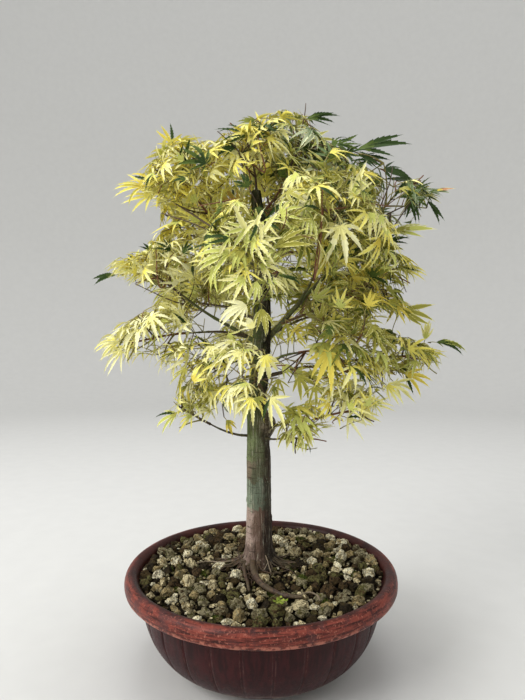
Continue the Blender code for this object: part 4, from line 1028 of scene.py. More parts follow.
# Scars on the trunk: height, direction in degrees, half width, half height
SCARS = (
    (0.300, -60, 0.0048, 0.0050), (0.262, -115, 0.0042, 0.0036), (0.226, -35, 0.0055, 0.0060),
    (0.196, -120, 0.0032, 0.0030), (0.168, -50, 0.0036, 0.0028), (0.150, -150, 0.0030, 0.0030),
    (0.345, -100, 0.0040, 0.0036), (0.382, -70, 0.0038, 0.0040), (0.246, 120, 0.0045, 0.0045),
    (0.184, 60, 0.0040, 0.0036), (0.318, 150, 0.0040, 0.0040), (0.130, 10, 0.0040, 0.0032),
)
SCAR_LIP = 0.0008
SCAR_LIP_WIDTH = 0.30
SCAR_HOLLOW = 0.0007
# Heights of the rings that old leaf scars leave round the trunk
RING_HEIGHTS = (0.128, 0.149, 0.171, 0.190, 0.207, 0.240, 0.258, 0.276, 0.296, 0.314, 0.334,
                0.356, 0.377, 0.399, 0.419, 0.438)

RING_WANDER = 0.0010
RING_HEIGHT = 0.00030
RING_WIDTH = 0.0007
# Noise in the bark, all along the trunk and near the ground only: height, how fine it is round
# the trunk and along it
BARK_NOISE = ((0.00042, 6.5, 34), (0.00028, 17, 60), (0.00016, 38, 150))
FOOT_NOISE = ((0.0030, 4.2, 110), (0.0016, 9.0, 260))
FOOT_NOISE_HEIGHT = 0.012
# Rings that close the trunk's top: share of its radius, height
TRUNK_CAP = ((0.72, 0.0002), (0.45, -0.0004), (0.15, -0.0006))


def bark_relief(z, angle, radius):
    """Height of the bark over the smooth trunk: ridges along it, rings and healed cuts."""
    around = outward(angle)
    relief = 0.0
    for size, fine, along in BARK_NOISE:
        relief += size * noise.noise(around * fine + UP * z * along)
    low = math.exp(-(z - GROUND) / FOOT_NOISE_HEIGHT)
    for size, fine, along in FOOT_NOISE:
        relief += low * size * noise.noise(around * fine + UP * z * along)
    for height in RING_HEIGHTS:
        bend = height + RING_WANDER * noise.noise(around * 1.7 + UP * height * 90)
        rise = (z - bend) / RING_WIDTH
        if abs(rise) < 3:
            relief += RING_HEIGHT * math.exp(-rise * rise)
    for height, degrees, width, tall in SCARS:
        turn = (angle - math.radians(degrees) + math.pi) % math.tau - math.pi
        far = math.hypot(turn * radius / width, (z - height) / tall)
        if far < 2:
            lip = SCAR_LIP * math.exp(-((far - 1) / SCAR_LIP_WIDTH) ** 2)
            relief += lip - SCAR_HOLLOW * math.exp(-far**4 * 2)
    return relief


def make_trunk(material):
    """The trunk, carried in fine relief from its flare to the healed cut at its top."""
    top = TRUNK_STATIONS[-1][0]
    points = []
    heights = [mix(GROUND + GAP, top, (k / (BARK_RINGS - 1)) ** BARK_RING_POWER)
               for k in range(BARK_RINGS)]
    for z in heights:
        centre, radius = trunk_at(z)
        centre.z = z
        for i in range(BARK_SIDES):
            a = math.tau * i / BARK_SIDES
            r = trunk_radius(z, a) + bark_relief(z, a, radius)
            r *= 1 - TOP_ROUNDING * max(0.0, (z - top + TOP_ROUNDING_HEIGHT) / TOP_ROUNDING_HEIGHT)
            points.append(tuple(centre + r * outward(a)))
    rings = BARK_RINGS
    centre, radius = trunk_at(top)
    for share, drop in TRUNK_CAP:
        for i in range(BARK_SIDES):
            a = math.tau * i / BARK_SIDES
            rough = 0.0003 * noise.noise(Vector((math.cos(a) * 3, math.sin(a) * 3, share * 9)))
            points.append(tuple(centre + Vector((
                radius * share * math.cos(a), radius * share * math.sin(a), drop + rough))))
        rings += 1
    soup = Soup()
    soup.add(points, ring_faces(rings, BARK_SIDES))
    on_tree(soup.piece("trunk_bark", [material]), "bark", "trunk")


def root_points(points, start, end):
    """A root's line on the ground, rising into the trunk's flare at its start."""
    line, radii = [], []
    for k, (x, y) in enumerate(points):
        radius = mix(start, end, k / (len(points) - 1))
        rise = 0.0045 if k == 0 else 0.0015 if k == 1 else 0.0
        line.append(Vector((x, y, GROUND + GAP + radius + rise)))
        radii.append(radius)
    return line, radii


def fine_limb(points, radii, steps):
    """The same limb on a smooth line, with its radii between."""
    line = smooth_line(points, steps)
    sizes = []
    for k in range(len(line)):
        along = k / steps
        i = min(int(along), len(radii) - 2)
        sizes.append(mix(radii[i], radii[i + 1], along - i))
    return line, sizes


def limb_relief(line, sizes, seed, roughness):
    """Relief of a limb's bark, by the number of its ring and the angle round it."""
    def relief(k, angle):
        around = Vector((math.cos(angle), math.sin(angle), seed))
        bumps = sum(noise.noise(around * fine + line[k] * along) * size
                    for size, fine, along in LIMB_NOISE)
        return bumps * roughness * sizes[k]

    return relief


def make_roots(materials):
    """Surface roots that wander out over the gravel, with finer ones beside them."""
    soup = Soup()
    for seed, name in enumerate(ROOTS):
        line, sizes = fine_limb(*root_points(*ROOTS[name]), ROOT_STEPS)
        relief = limb_relief(line, sizes, seed, ROOT_ROUGHNESS)
        add_tube(soup, line, sizes, ROOT_SIDES, 0, relief)
    rng = random.Random("fine roots")
    for k in range(ROOTLETS):
        angle = rng.gauss(-1.6, 1.0) if k % 4 else rng.uniform(-math.pi, math.pi)
        heading = angle
        x = TRUNK_STATIONS[0][1] + ROOTLET_START * math.cos(angle)
        y = ROOTLET_START * math.sin(angle)
        radius = rng.uniform(*ROOTLET_WIDTHS)
        line, sizes = [], []
        count = rng.randint(*ROOTLET_POINTS)
        for step in range(count):
            share = step / (count - 1)
            rise = ROOTLET_RISE * (1 - share) ** 3 + rng.uniform(-0.2, 1.0) * 0.0010
            line.append(Vector((x, y, GROUND + radius * 0.8 + rise)))
            sizes.append(radius * mix(1.0, 0.45, share))
            heading += rng.uniform(-ROOTLET_WANDER, ROOTLET_WANDER)
            x += ROOTLET_STEP * math.cos(heading)
            y += ROOTLET_STEP * math.sin(heading)
        line, sizes = fine_limb(line, sizes, ROOTLET_STEPS)
        relief = limb_relief(line, sizes, 7 + angle, FINE_ROOT_ROUGHNESS)
        add_tube(soup, line, sizes, FINE_ROOT_SIDES, 0, relief)
    for points, radius in THIN_ROOTS:
        line, sizes = fine_limb([Vector(p) for p in points], [radius] * len(points),
                                FINE_ROOT_STEPS)
        relief = limb_relief(line, sizes, 3, FINE_ROOT_ROUGHNESS)
        add_tube(soup, line, sizes, FINE_ROOT_SIDES, 1, relief)
    on_tree(soup.piece("surface_roots_bark", materials), "bark", *ROOTS)


def bezier(a, b, c, d, t):
    s = 1 - t
    return a * s**3 + b * (3 * s * s * t) + c * (3 * s * t * t) + d * t**3


def share_out(mass, point):
    """0 at the middle of a mass's space and 1 at its edge."""
    return math.sqrt(sum(((point[k] - mass.centre[k]) / mass.radii[k]) ** 2 for k in range(3)))


def bough_line(name, lines):
    """A bough's points and radii, from inside its parent to where it enters its mass."""
    bough = BOUGHS[name]
    mass = MASSES[bough.mass]
    if bough.parent == "trunk":
        start = trunk_at(bough.place)[0]
    else:
        start, _ = along_line(lines[bough.parent][0], bough.place)
    goal = Vector(mass.centre)
    span = goal - start
    bow = UP * bough.bow
    controls = (start, start + span * BOUGH_BENDS[0] + bow,
                start + span * BOUGH_BENDS[1] + bow * BOUGH_LATE_BOW, goal)
    end = next(t / 100 for t in range(101)
               if share_out(mass, bezier(*controls, t / 100)) < MASS_ENTRY)
    rng = random.Random(name)
    tip = max(BOUGH_LEAST_RADIUS, bough.radius * BOUGH_TIP_SHARE)
    line, radii = [], []
    for k in range(BOUGH_POINTS):
        share = k / (BOUGH_POINTS - 1)
        point = bezier(*controls, end * share)
        if 1 < k < BOUGH_POINTS - 1:
            point += Vector([rng.uniform(-1, 1) * BOUGH_CROOK for _ in range(3)])
        line.append(point)
        radii.append(mix(bough.radius, tip, share))
    return line, radii


def all_bough_lines():
    lines = {}
    for name in sorted(BOUGHS, key=lambda n: BOUGHS[n].parent != "trunk"):
        lines[name] = bough_line(name, lines)
    return lines


def make_boughs(lines, materials):
    """Every bough in relief, with a swelling where it leaves its parent and at its buds."""
    soup = Soup()
    for seed, (name, (points, radii)) in enumerate(lines.items()):
        line, sizes = fine_limb(points, radii, BOUGH_STEPS)
        count = len(line)
        rng = random.Random(name + " buds")
        buds = [rng.uniform(*span) for span in BUD_SPANS]
        for k in range(count):
            share = k / (count - 1)
            swell = SWELLING * math.exp(-share / SWELLING_LENGTH)
            swell += sum(BUD_SWELLING * math.exp(-((share - bud) / BUD_LENGTH) ** 2)
                         for bud in buds)
            sizes[k] *= mix(*BOUGH_WIDTHS, share) + swell
        slot = list(BOUGH_LOOKS).index(BOUGHS[name].look)
        relief = limb_relief(line, sizes, seed, BOUGH_ROUGHNESS)
        add_tube(soup, line, sizes, BOUGH_SIDES, slot, relief)
    on_tree(soup.piece("boughs_bark", materials), "bark", *lines)


# Growth of one mass

Leaf = namedtuple("Leaf", "root base along side normal length tone twig spread")
# A twig's order is 0 for the stem, 1 and 2 for finer ones, and then as below. A long bare
# twig's colour is added to its order.
Twig = namedtuple("Twig", "points order")
SHOOT_ORDER = 3
STICK_ORDER = 4


def short_name(name):
    """A mass's name without what all of them begin with."""
    return name.replace("foliage_", "")


class Room:
    """The space that one mass keeps to: its own cell of the crown, clear of every limb."""

    def __init__(self, name, lines):
        names = list(MASSES)
        self.own = names.index(name)
        self.centres = np.array([MASSES[n].centre for n in names])
        self.radii = np.array([MASSES[n].radii for n in names])
        points, sizes = [], []
        top = TRUNK_STATIONS[-1][0]
        z = GROUND
        while z <= top:
            centre, radius = trunk_at(z)
            points.append(centre)
            sizes.append(radius + TRUNK_MARGIN)
            z += LIMB_STEP
        for line, widths in lines.values():
            for a, b, ra, rb in zip(line, line[1:], widths, widths[1:]):
                steps = max(1, round((b - a).length / LIMB_STEP))
                for k in range(steps + 1):
                    points.append(a.lerp(b, k / steps))
                    sizes.append(mix(ra, rb, k / steps))
        self.limbs = as_rows(points)
        self.sizes = np.array(sizes)

    def shares(self, points):
        """How far out each point lies in this mass, and in the nearest of the others."""
        shares = np.linalg.norm(
            (points[:, None, :] - self.centres[None]) / self.radii[None], axis=2)
        return shares[:, self.own], np.delete(shares, self.own, axis=1).min(axis=1)

    def clear(self, points, half_widths, clearance):
        away = np.linalg.norm(points[:, None, :] - self.limbs[None], axis=2)
        return bool((away > self.sizes[None] + half_widths[:, None] + clearance).all())

    def holds(self, points, half_widths, most=TWIG_REACH):
        """True if every point lies in the cell, and no limb comes near."""
        points = as_rows(points)
        own, others = self.shares(points)
        if own.max() > most or (own + CELL_MARGIN > others).any():
            return False
        return self.clear(points, np.array(half_widths), LIMB_CLEARANCE)

    def spreads(self, points, half_widths, most=FINE_REACH):
        """As holds, but finer growth may also reach into the space between two masses, as
        long as it keeps to the crown's outline."""
        points = as_rows(points)
        own, others = self.shares(points)
        bridge = np.interp(points[:, 2], BRIDGE_HEIGHTS, (LOW_BRIDGE_SUM, BRIDGE_SUM))
        inside = (own <= most) | (own + others <= bridge + most - 1)
        if not inside.all() or (own - BRIDGE_DEPTH > others).any():
            return False
        return in_outline(points) and self.clear(points, np.array(half_widths), 0.0)


def as_seen(points):
    """Places across and up of points, moved along the lines of sight to the trunk's depth."""
    eye = np.array(CAMERA_PLACE)
    seen = eye + (points - eye) * (-eye[1] / (points[:, 1] - eye[1]))[:, None]
    return seen[:, 0], seen[:, 2]


def in_outline(points):
    x, z = as_seen(points)
    return bool(((z < np.interp(x, *zip(*OUTLINE_TOP)) + OUTLINE_SLACK)
                 & (x > np.interp(z, *zip(*OUTLINE_LEFT)) - OUTLINE_SLACK)
                 & (x < np.interp(z, *zip(*OUTLINE_RIGHT)) + OUTLINE_SLACK)).all())


def in_window(points):
    """True if any of the points would close a window of sky, or one in front of the trunk."""
    points = as_rows(points)
    x, z = as_seen(points)
    front = points[:, 1] < 0
    return any(((((x - u) / a) ** 2 + ((z - w) / b) ** 2 < 1) & (front | always)).any()
               for windows, always in ((SKY_WINDOWS, True), (TRUNK_WINDOWS, False))
               for u, w, a, b in windows)


def across(direction, turn):
    """A unit vector square to direction, turned about it from the level."""
    level = direction.cross(UP)
    if level.length < 1e-3:
        level = Vector((1, 0, 0))
    level.normalize()
    return Matrix.Rotation(turn, 3, direction) @ level


def opposite(ahead, turn, wobble, rng):
    """The two ways in which a pair of twigs leaves a limb that runs ahead."""
    for half in (0, math.pi):
        yield across(ahead, turn + half + rng.uniform(-wobble, wobble))


def mass_start(name, lines):
    """Where a mass's stem begins, a hair past its bough's tip or the trunk's, and its way."""
    for bough, (points, _) in lines.items():
        if BOUGHS[bough].mass == name:
            heading = (points[-1] - points[-2]).normalized()
            return points[-1] + heading * GAP, heading
    return trunk_at(TRUNK_STATIONS[-1][0])[0] + UP * GAP, UP


def twig_tip(node, way, length, keeps_to):
    """The tip of a twig, drawn back until it keeps to the space it may have, or None."""
    while length > TWIG_LEAST:
        tip = node + way * length
        steps = [node.lerp(tip, share) for share in TWIG_PROBES]
        if keeps_to(steps, [TWIG_RADIUS] * len(steps)):
            return tip
        length *= TWIG_DRAWN_BACK
    return None


def grow_twigs(name, lines, room):
    """The stem of a mass, and the twigs that leave it in pairs, each pair turned a quarter
    from the last."""
    mass = MASSES[name]
    rng = random.Random(name + " twigs")
    start, heading = mass_start(name, lines)
    centre = Vector(mass.centre)
    goal = centre + (centre - start) * STEM_OVERSHOOT
    foot = start + heading * STEM_FOOT
    controls = (foot, foot + heading * (goal - foot).length * STEM_OVERSHOOT, centre, goal)
    steps = 3 * TWIG_STEPS
    stem = [start] + [bezier(*controls, k / steps) for k in range(steps + 1)]
    twigs = [Twig(stem, 0)]
    turn = rng.uniform(0, math.pi)
    for share in STEM_NODES:
        node = bezier(*controls, share)
        ahead = bezier(*controls, share + NODE_STEP) - bezier(*controls, share - NODE_STEP)
        ahead.normalize()
        for away in opposite(ahead, turn, TWIG_WOBBLE, rng):
            way = (ahead * TWIG_AHEAD + away * TWIG_SPREAD + UP * TWIG_LIFT).normalized()
            length = TWIG_SHARE * min(mass.radii) * rng.uniform(*TWIG_LENGTHS)
            tip = twig_tip(node, way, length, room.holds)
            if tip:
                twigs.append(Twig([node, tip], 1))
        turn += math.pi / 2
    return twigs


def bowed(node, tip, rng):
    """A slightly bowed line from a node to a twig's tip."""
    span = tip - node
    bow = across(span.normalized(), rng.uniform(0, math.tau)) * span.length * TWIG_BOW
    bow *= rng.uniform(0.3, 1.0)
    return [node.lerp(tip, k / TWIG_STEPS) + bow * math.sin(math.pi * k / TWIG_STEPS)
            for k in range(TWIG_STEPS + 1)]


def carry_on(name, twigs, room):
    """Finer twigs in pairs on each twig, and one that carries its tip further out."""
    rng = random.Random(name + " finer")
    grown = [twigs[0]]
    for twig in twigs[1:]:
        grown.append(Twig(bowed(*twig.points, rng), 1))
    finer = []
    for twig in grown:
        points = twig.points
        ahead = (points[-1] - points[-2]).normalized()
        length = (points[-1] - points[0]).length
        turn = rng.uniform(0, math.pi)
        if twig.order == 0:
            length *= STEM_FINE_SHARE
        for share in FINE_NODES if twig.order else STEM_FINE_NODES:
            node, _ = along_line(points, share)
            spread = TIP_SPREAD if share == 1.0 else FINE_SPREAD
            for away in opposite(ahead, turn, FINE_WOBBLE, rng):
                way = ahead * FINE_AHEAD + away * spread + UP * rng.uniform(*FINE_LIFTS)
                reach = FINE_SHARE * rng.uniform(*FINE_LENGTHS) * length
                tip = twig_tip(node, way.normalized(), reach, room.spreads)
                if tip:
                    finer.append(Twig(bowed(node, tip, rng), 2))
            turn += math.pi / 2 + rng.uniform(*FINE_TURNS)
    return grown + finer


def grow_spurs(name, lines):
    """Short twigs in pairs along the outer part of the bough that carries a mass."""
    rng = random.Random(name + " spurs")
    spurs = []
    for bough, (points, _) in lines.items():
        if BOUGHS[bough].mass != name or MASSES[name].centre[2] < SPUR_LEAST_HEIGHT:
            continue
        turn = rng.uniform(0, math.pi)
        for share in SPUR_PLACES:
            node, ahead = along_line(points, share)
            for away in opposite(ahead, turn, SPUR_WOBBLE, rng):
                way = ahead * rng.uniform(*SPUR_AHEADS) + away + UP * rng.uniform(*SPUR_LIFTS)
                tip = node + way.normalized() * SPUR_LENGTH * rng.uniform(*SPUR_LENGTHS)
                spurs.append(Twig(bowed(node, tip, rng), 2))
            turn += math.pi / 2
    return spurs


def nearest_node(twigs, place):
    near = [point for twig in twigs if twig.order < 2 for point in twig.points[2:]]
    return min(near, key=lambda point: (point - place).length)


def grow_shoots(name, twigs, leaves):
    """The shoots of a mass, each from the twig nearest to it, with one leaf at its tip."""
    rng = random.Random(name + " shoots")
    for place, tone, length, (right, up), spread in SHOOTS.get(short_name(name), ()):
        tip = Vector(place)
        twigs.append(Twig(bowed(nearest_node(twigs, tip), tip, rng), SHOOT_ORDER))
        way = Vector((right, SHOOT_LEAN, up)).normalized()
        side = SHOOT_FACE.cross(way).normalized()
        leaves.append(Leaf(tip, tip + way * length * SHOOT_STALK, way, side, way.cross(side),
                           length, tone, len(twigs) - 1, spread))


def grow_sticks(name, twigs):
    """The long bare twigs of a mass, each from the twig nearest to its foot."""
    grown = []
    for places, slot in STICKS.get(short_name(name), ()):
        points = [Vector(p) for p in places]
        foot = nearest_node(twigs, points[0])
        grown.append(Twig(smooth_line([foot] + points, 3), STICK_ORDER + slot))
    return grown


def leaf_samples(leaf):
    """Points over the blade and the leaf stalk, with the blade's half width at each."""
    points, widths = [], []
    for degrees, size in LOBES[:TRIED_LOBES]:
        a = math.radians(degrees)
        way = leaf.along * math.cos(a) + leaf.side * math.sin(a)
        for share in TRIED_SHARES:
            reach = share * size * leaf.length
            points.append(leaf.base + way * reach - leaf.normal * (TRIED_CURL * reach * share)
                          - UP * (TRIED_HANG * reach * share))
            widths.append(TRIED_WIDTH * leaf.length * (1 - share))
    points.append(leaf.root.lerp(leaf.base, TRIED_STALK_SHARE))
    widths.append(TRIED_STALK_WIDTH)
    return points, widths


def place_leaf(rng, root, way, mass, length, tone, twig):
    """A leaf whose stalk leaves root along way, and whose blade faces out and up."""
    stalk = (way - UP * STALK_DROOP * mass.droop).normalized()
    base = root + stalk * length * PETIOLE_SHARE * rng.uniform(*PETIOLE_LENGTHS)
    out = Vector((base.x, base.y, 0)).normalized()
    along = stalk * BLADE_AHEAD + out * BLADE_OUT - UP * mass.droop * rng.uniform(*BLADE_HANGS)
    along += any_way(rng) * BLADE_SWAY
    along.normalize()
    while stalk.dot(along) < LEAST_BEND:
        along = (along + stalk * 0.2).normalized()
    face = UP * FACE_UP + out * FACE_OUT + any_way(rng) * FACE_SWAY
    side = face.cross(along).normalized()
    return Leaf(root, base, along, side, along.cross(side), length, tone, twig,
                rng.uniform(*LEAF_SPREADS))


def leaf_places(twigs, rng):
    """Where leaves can stand, in opposite pairs: the twigs' tips first, then further back."""
    places = []
    for order, where in enumerate(LEAF_SHARES):
        first = len(places)
        for index, twig in enumerate(twigs):
            if twig.order == 0 and order:
                continue
            root, way = along_line(twig.points, where)
            for side in (1, -1):
                places.append((order, index, root, way, side))
        level = places[first:]
        rng.shuffle(level)
        places[first:] = level
    return places


def pick_tone(rng, palette):
    names = list(palette)
    return rng.choices(names, [palette[n] for n in names])[0]


def grow_leaves(name, twigs, room, taken, count):
    """Up to count leaves in pairs along the twigs, where they find room. taken holds the
    small cells of the crown that leaves already fill."""
    mass = MASSES[name]
    rng = random.Random(name + " leaves")
    palette = PALETTES[mass.palette]
    tones = [pick_tone(rng, palette) for _ in twigs]
    leaves = []
    for order, index, root, way, side in leaf_places(twigs, rng):
        for attempt in range(LEAF_TRIES):
            if len(leaves) == count:
                return leaves
            lean = across(way, rng.uniform(-LEAF_TURN, LEAF_TURN)) * side
            out = (way * LEAF_AHEADS[order] + lean * LEAF_ASIDE).normalized()
            size = LEAF_LENGTH * rng.uniform(*LEAF_SIZES) * LEAF_SHRINK**attempt
            tone = tones[index] if rng.random() < TWIG_TONE_SHARE else pick_tone(rng, palette)
            leaf = place_leaf(rng, root, out, mass, size, tone, index)
            points, widths = leaf_samples(leaf)
            cells = {tuple(math.floor(c / LEAF_CELL) for c in p) for p in points}
            if len(cells & taken) > LEAF_CROWDING:
                continue
            if room.spreads(points, widths, LEAF_REACH) and not in_window(points):
                leaves.append(leaf)
                taken |= cells
                break
    return leaves


# Meshes of the leaves

HEART, BODY, MARGIN = range(3)
# How leaves differ, each as the span of an even spread or the width of a normal one
LOBE_SIZES = (0.86, 1.16)
LOW_LOBE_SIZES = (0.25, 1.15)
LOBE_TURN = 0.06
LOBE_BEND = 0.30
LOBE_TWIST = 0.35
LOBE_CURL = 0.18
LIFTS = (0.05, 0.30)
CURLS = (0.1, 0.95)
FOLDS = (0.15, 0.60)
BREADTHS = (0.72, 1.26)
HANGS = (0.02, 0.22)
# Powers of the share along a lobe with which it bends and curls, and how far it curls
BEND_POWER = 1.5
CURL_POWER = 1.2
CURL_GAIN = 1.3


def lobe_faces():
    """Faces of one lobe, by the numbers of its points: midrib, left edge, right edge, then
    the teeth of the left edge and of the right. Marks tell heart, body and margin apart."""
    last = len(LOBE_STATIONS) - 1
    left = last + 1
    right = left + last - 1
    left_teeth = right + last - 1
    right_teeth = left_teeth + last - 3
    faces, marks = [], []

    def add(face, mark):
        faces.append(face)
        marks.append(mark)

    add((0, right, 1), HEART)
    add((0, 1, left), HEART)
    for i in range(1, last - 1):
        mark = HEART if i < last // 2 - 1 else BODY
        add((i, right + i - 1, right + i, i + 1), mark)
        add((i, i + 1, left + i, left + i - 1), mark)
    add((last - 1, right + last - 2, last), MARGIN)
    add((last - 1, last, left + last - 2), MARGIN)
    for i in range(2, last - 1):
        add((left + i - 1, left + i, left_teeth + i - 2), MARGIN)
        add((right + i - 1, right_teeth + i - 2, right + i), MARGIN)
    return faces, marks


def leaf_faces():
    """Faces of a whole leaf, lobe after lobe and then the webs between them, with the lobe
    that each belongs to and its mark."""
    faces, lobe_marks = lobe_faces()
    last = len(LOBE_STATIONS) - 1
    size = max(max(face) for face in faces) + 1
    every, lobe_of, marks = [], [], []
    for lobe in range(len(LOBES)):
        every += [tuple(lobe * size + i for i in face) for face in faces]
        lobe_of += [lobe] * len(faces)
        marks += lobe_marks
    for low, high, reach in WEBS:
        left = low * size + last
        right = high * size + 2 * last - 1
        every.append((low * size, right + 1, left + 1))
        for k in range(1, reach):
            every.append((left + k, right + k, right + k + 1, left + k + 1))
        lobe_of += [low] * reach
        marks += [HEART] * reach
    return every, lobe_of, marks


def leaf_points(leaves, rng, droop):
    """The points of every lobe of the leaves, as an array of leaf, lobe, point and x, y, z."""
    count = len(leaves)
    lobes = len(LOBES)
    stations = np.array(LOBE_STATIONS)
    widths = np.array(LOBE_HALF_WIDTHS)
    steps = np.diff(stations)
    last = len(stations) - 1
    shape = (count, lobes)
    spread = np.array([leaf.spread for leaf in leaves])[:, None]
    angles = np.radians([lobe[0] for lobe in LOBES])[None] * spread
    angles = angles + rng.normal(0, LOBE_TURN, shape)
    sizes = np.array([lobe[1] for lobe in LOBES])[None] * rng.uniform(*LOBE_SIZES, shape)
    sizes[:, 5:] *= rng.uniform(*LOW_LOBE_SIZES, (count, 1))
    bend = rng.normal(0, LOBE_BEND, shape) - 0.15 * np.sign(angles)
    lift = rng.uniform(*LIFTS, (count, 1))
    curl = rng.uniform(*CURLS, (count, 1)) * (0.7 + 0.5 * droop) + rng.normal(
        0, LOBE_CURL, shape)
    fold = rng.uniform(*FOLDS, (count, 1))
    twist = rng.normal(0, LOBE_TWIST, shape)
    breadth = rng.uniform(*BREADTHS, (count, 1))

    def bent(shares):
        """Heading and tilt of each lobe at those shares of its length."""
        return (angles[..., None] + bend[..., None] * shares**BEND_POWER,
                lift[..., None] - curl[..., None] * shares**CURL_POWER * CURL_GAIN)

    heading, tilt = bent((stations[:-1] + stations[1:]) / 2)
    ways = np.stack((np.cos(tilt) * np.cos(heading), np.cos(tilt) * np.sin(heading),
                     np.sin(tilt)), -1)
    ribs = np.concatenate((np.zeros((*shape, 1, 3)),
                           np.cumsum(ways * steps[:, None], axis=2)), axis=2)

    heading, tilt = bent(stations)
    flat = np.stack((-np.sin(heading), np.cos(heading), np.zeros_like(heading)), -1)
    normal = np.stack((-np.sin(tilt) * np.cos(heading), -np.sin(tilt) * np.sin(heading),
                       np.cos(tilt)), -1)
    turn = (twist[..., None] * stations)[..., None]
    across_left = flat * np.cos(turn) + normal * np.sin(turn)
    upright = normal * np.cos(turn) - flat * np.sin(turn)
    raised = fold[..., None, None]
    wide = widths * breadth[..., None]
    wide[..., 1] = widths[1]
    wide = wide[..., None]
    left = ribs + (across_left * np.cos(raised) + upright * np.sin(raised)) * wide
    right = ribs + (-across_left * np.cos(raised) + upright * np.sin(raised)) * wide

    def teeth(edge, sign):
        low = edge[:, :, 2:last - 1]
        high = edge[:, :, 3:last]
        out = (sign * across_left[:, :, 3:last] * np.cos(raised)
               + upright[:, :, 3:last] * np.sin(raised))
        size = np.linspace(*TOOTH_SIZES, last - 3)[None, None, :, None]
        return low + (high - low) * TOOTH_AHEAD + out * TOOTH * size

    points = np.concatenate((ribs, left[:, :, 1:last], right[:, :, 1:last],
                             teeth(left, 1), teeth(right, -1)), axis=2)
    return points * sizes[..., None, None]


def add_leaves(soup, leaves, name):
    """All leaves of a mass, each of toothed lobes that fold along the rib and curl down."""
    if not leaves:
        return
    mass = MASSES[name]
    index = list(MASSES).index(name)
    rng = np.random.default_rng(400 + index)
    local = leaf_points(leaves, rng, mass.droop)
    frames = np.array([[tuple(f.along), tuple(f.side), tuple(f.normal)] for f in leaves])
    lengths = np.array([f.length for f in leaves])
    bases = as_rows(f.base for f in leaves)
    world = np.einsum("nlpk,nkj->nlpj", local, frames)
    reach = np.linalg.norm(local, axis=-1)
    hang = (rng.uniform(*HANGS, len(leaves)) * (0.4 + 0.9 * mass.droop))[:, None, None]
    world[..., 2] -= hang * reach**2
    world = world * lengths[:, None, None, None] + bases[:, None, None, :]
    faces, lobe_of, marks = leaf_faces()
    dark = TONE_NAMES.index("dark")
    is_dark = rng.random((len(leaves), len(LOBES))) < DARK_LOBE_SHARE
    for n, leaf in enumerate(leaves):
        heart = rng.choice(TONES[leaf.tone].deeper)
        margin = TONES[leaf.tone].paler if rng.random() < PALE_MARGIN_SHARE else leaf.tone
        tones = [TONE_NAMES.index(tone) for tone in (heart, leaf.tone, margin)]
        slots = [dark if is_dark[n, lobe] else tones[mark] for lobe, mark in zip(lobe_of, marks)]
        soup.add(world[n].reshape(-1, 3), faces, slots)


def add_stalk(soup, leaf, slot):
    """A leaf stalk, bent a little where it meets the blade."""
    middle = leaf.root.lerp(leaf.base, PETIOLE_BEND_PLACE)
    middle += UP * PETIOLE_BEND * (leaf.base - leaf.root).length
    line = smooth_line([leaf.root, middle, leaf.base], 2)
    sizes = tapered(*(PETIOLE_RADIUS * share for share in PETIOLE_TAPER), len(line))
    add_tube(soup, line, sizes, PETIOLE_SIDES, slot)


# Widths at both ends, sides and shares of the colours, by a twig's order
TWIG_SIZES = (STEM_WIDTHS, TWIG_WIDTHS, FINE_WIDTHS, SHOOT_WIDTHS, STICK_WIDTHS)
TWIG_SIDES = (8, 6, 5, 6, 7)
TWIG_COLOURS = ((6, 2, 2), (3, 2, 5), (1, 2, 7), (6, 2, 3))
FOOT_SWELL = 1.15
TIP_SWELL = 1.1


def add_twigs(soup, name, twigs):
    """The stem and twigs of a mass as tapering tubes that swell at their nodes."""
    rng = random.Random(name + " bark")
    for twig in twigs:
        start, end = TWIG_SIZES[min(twig.order, STICK_ORDER)]
        sizes = tapered(start, end, len(twig.points))
        sizes[0] *= FOOT_SWELL
        sizes[-1] *= TIP_SWELL
        slot = rng.choices((0, 1, 2), TWIG_COLOURS[min(twig.order, SHOOT_ORDER)])[0]
        if twig.order >= STICK_ORDER:
            slot = twig.order - STICK_ORDER
        add_tube(soup, twig.points, sizes, TWIG_SIDES[min(twig.order, STICK_ORDER)], slot)


def mass_size(mass):
    a, b, c = mass.radii
    return (a * b + b * c + c * a) * mass.fullness


def make_mass(name, lines, taken, leaf_looks, twig_looks):
    """One mass: its twigs, its leaves and what stands out of it, as two pieces."""
    room = Room(name, lines)
    twigs = carry_on(name, grow_twigs(name, lines, room), room)
    twigs += grow_spurs(name, lines)
    whole = sum(mass_size(mass) for mass in MASSES.values())
    count = round(LEAF_COUNT * mass_size(MASSES[name]) / whole)
    leaves = grow_leaves(name, twigs, room, taken, count)
    grow_shoots(name, twigs, leaves)
    bearing = {leaf.twig for leaf in leaves}
    twigs = [twig for k, twig in enumerate(twigs) if k in bearing or twig.order == 0
             or twig.order == 1 and in_outline(as_rows(twig.points))]
    twigs += grow_sticks(name, twigs)
    foliage, wood = Soup(), Soup()
    add_leaves(foliage, leaves, name)
    for leaf in leaves:
        add_stalk(foliage, leaf, len(TONES))
    add_twigs(wood, name, twigs)
    slot = "leaf_green" if MASSES[name].palette == "green_top" else "leaf"
    on_tree(foliage.piece("leaves_" + short_name(name), leaf_looks, smooth=False), slot, name)
    on_tree(wood.piece("twigs_" + short_name(name), twig_looks), "bark", name)


# Bowl

def bowl_radius(z, low, high, foot, top):
    """Radius of a rounded bowl at height z, from foot at low to top at high."""
    share = min(1.0, max(0.0, (high - z) / (high - low)))
    return foot + (top - foot) * (1 - share**BOWL_ROUNDNESS) ** (1 / BOWL_ROUNDNESS)


def bowl_rows(low, high, foot, top, count):
    """Radius and height down the bowl's wall, closer together where it turns under."""
    rows = []
    for i in range(count):
        z = low + (high - low) * math.cos(0.5 * math.pi * i / (count - 1))
        rows.append((bowl_radius(z, low, high, foot, top), z))
    return rows


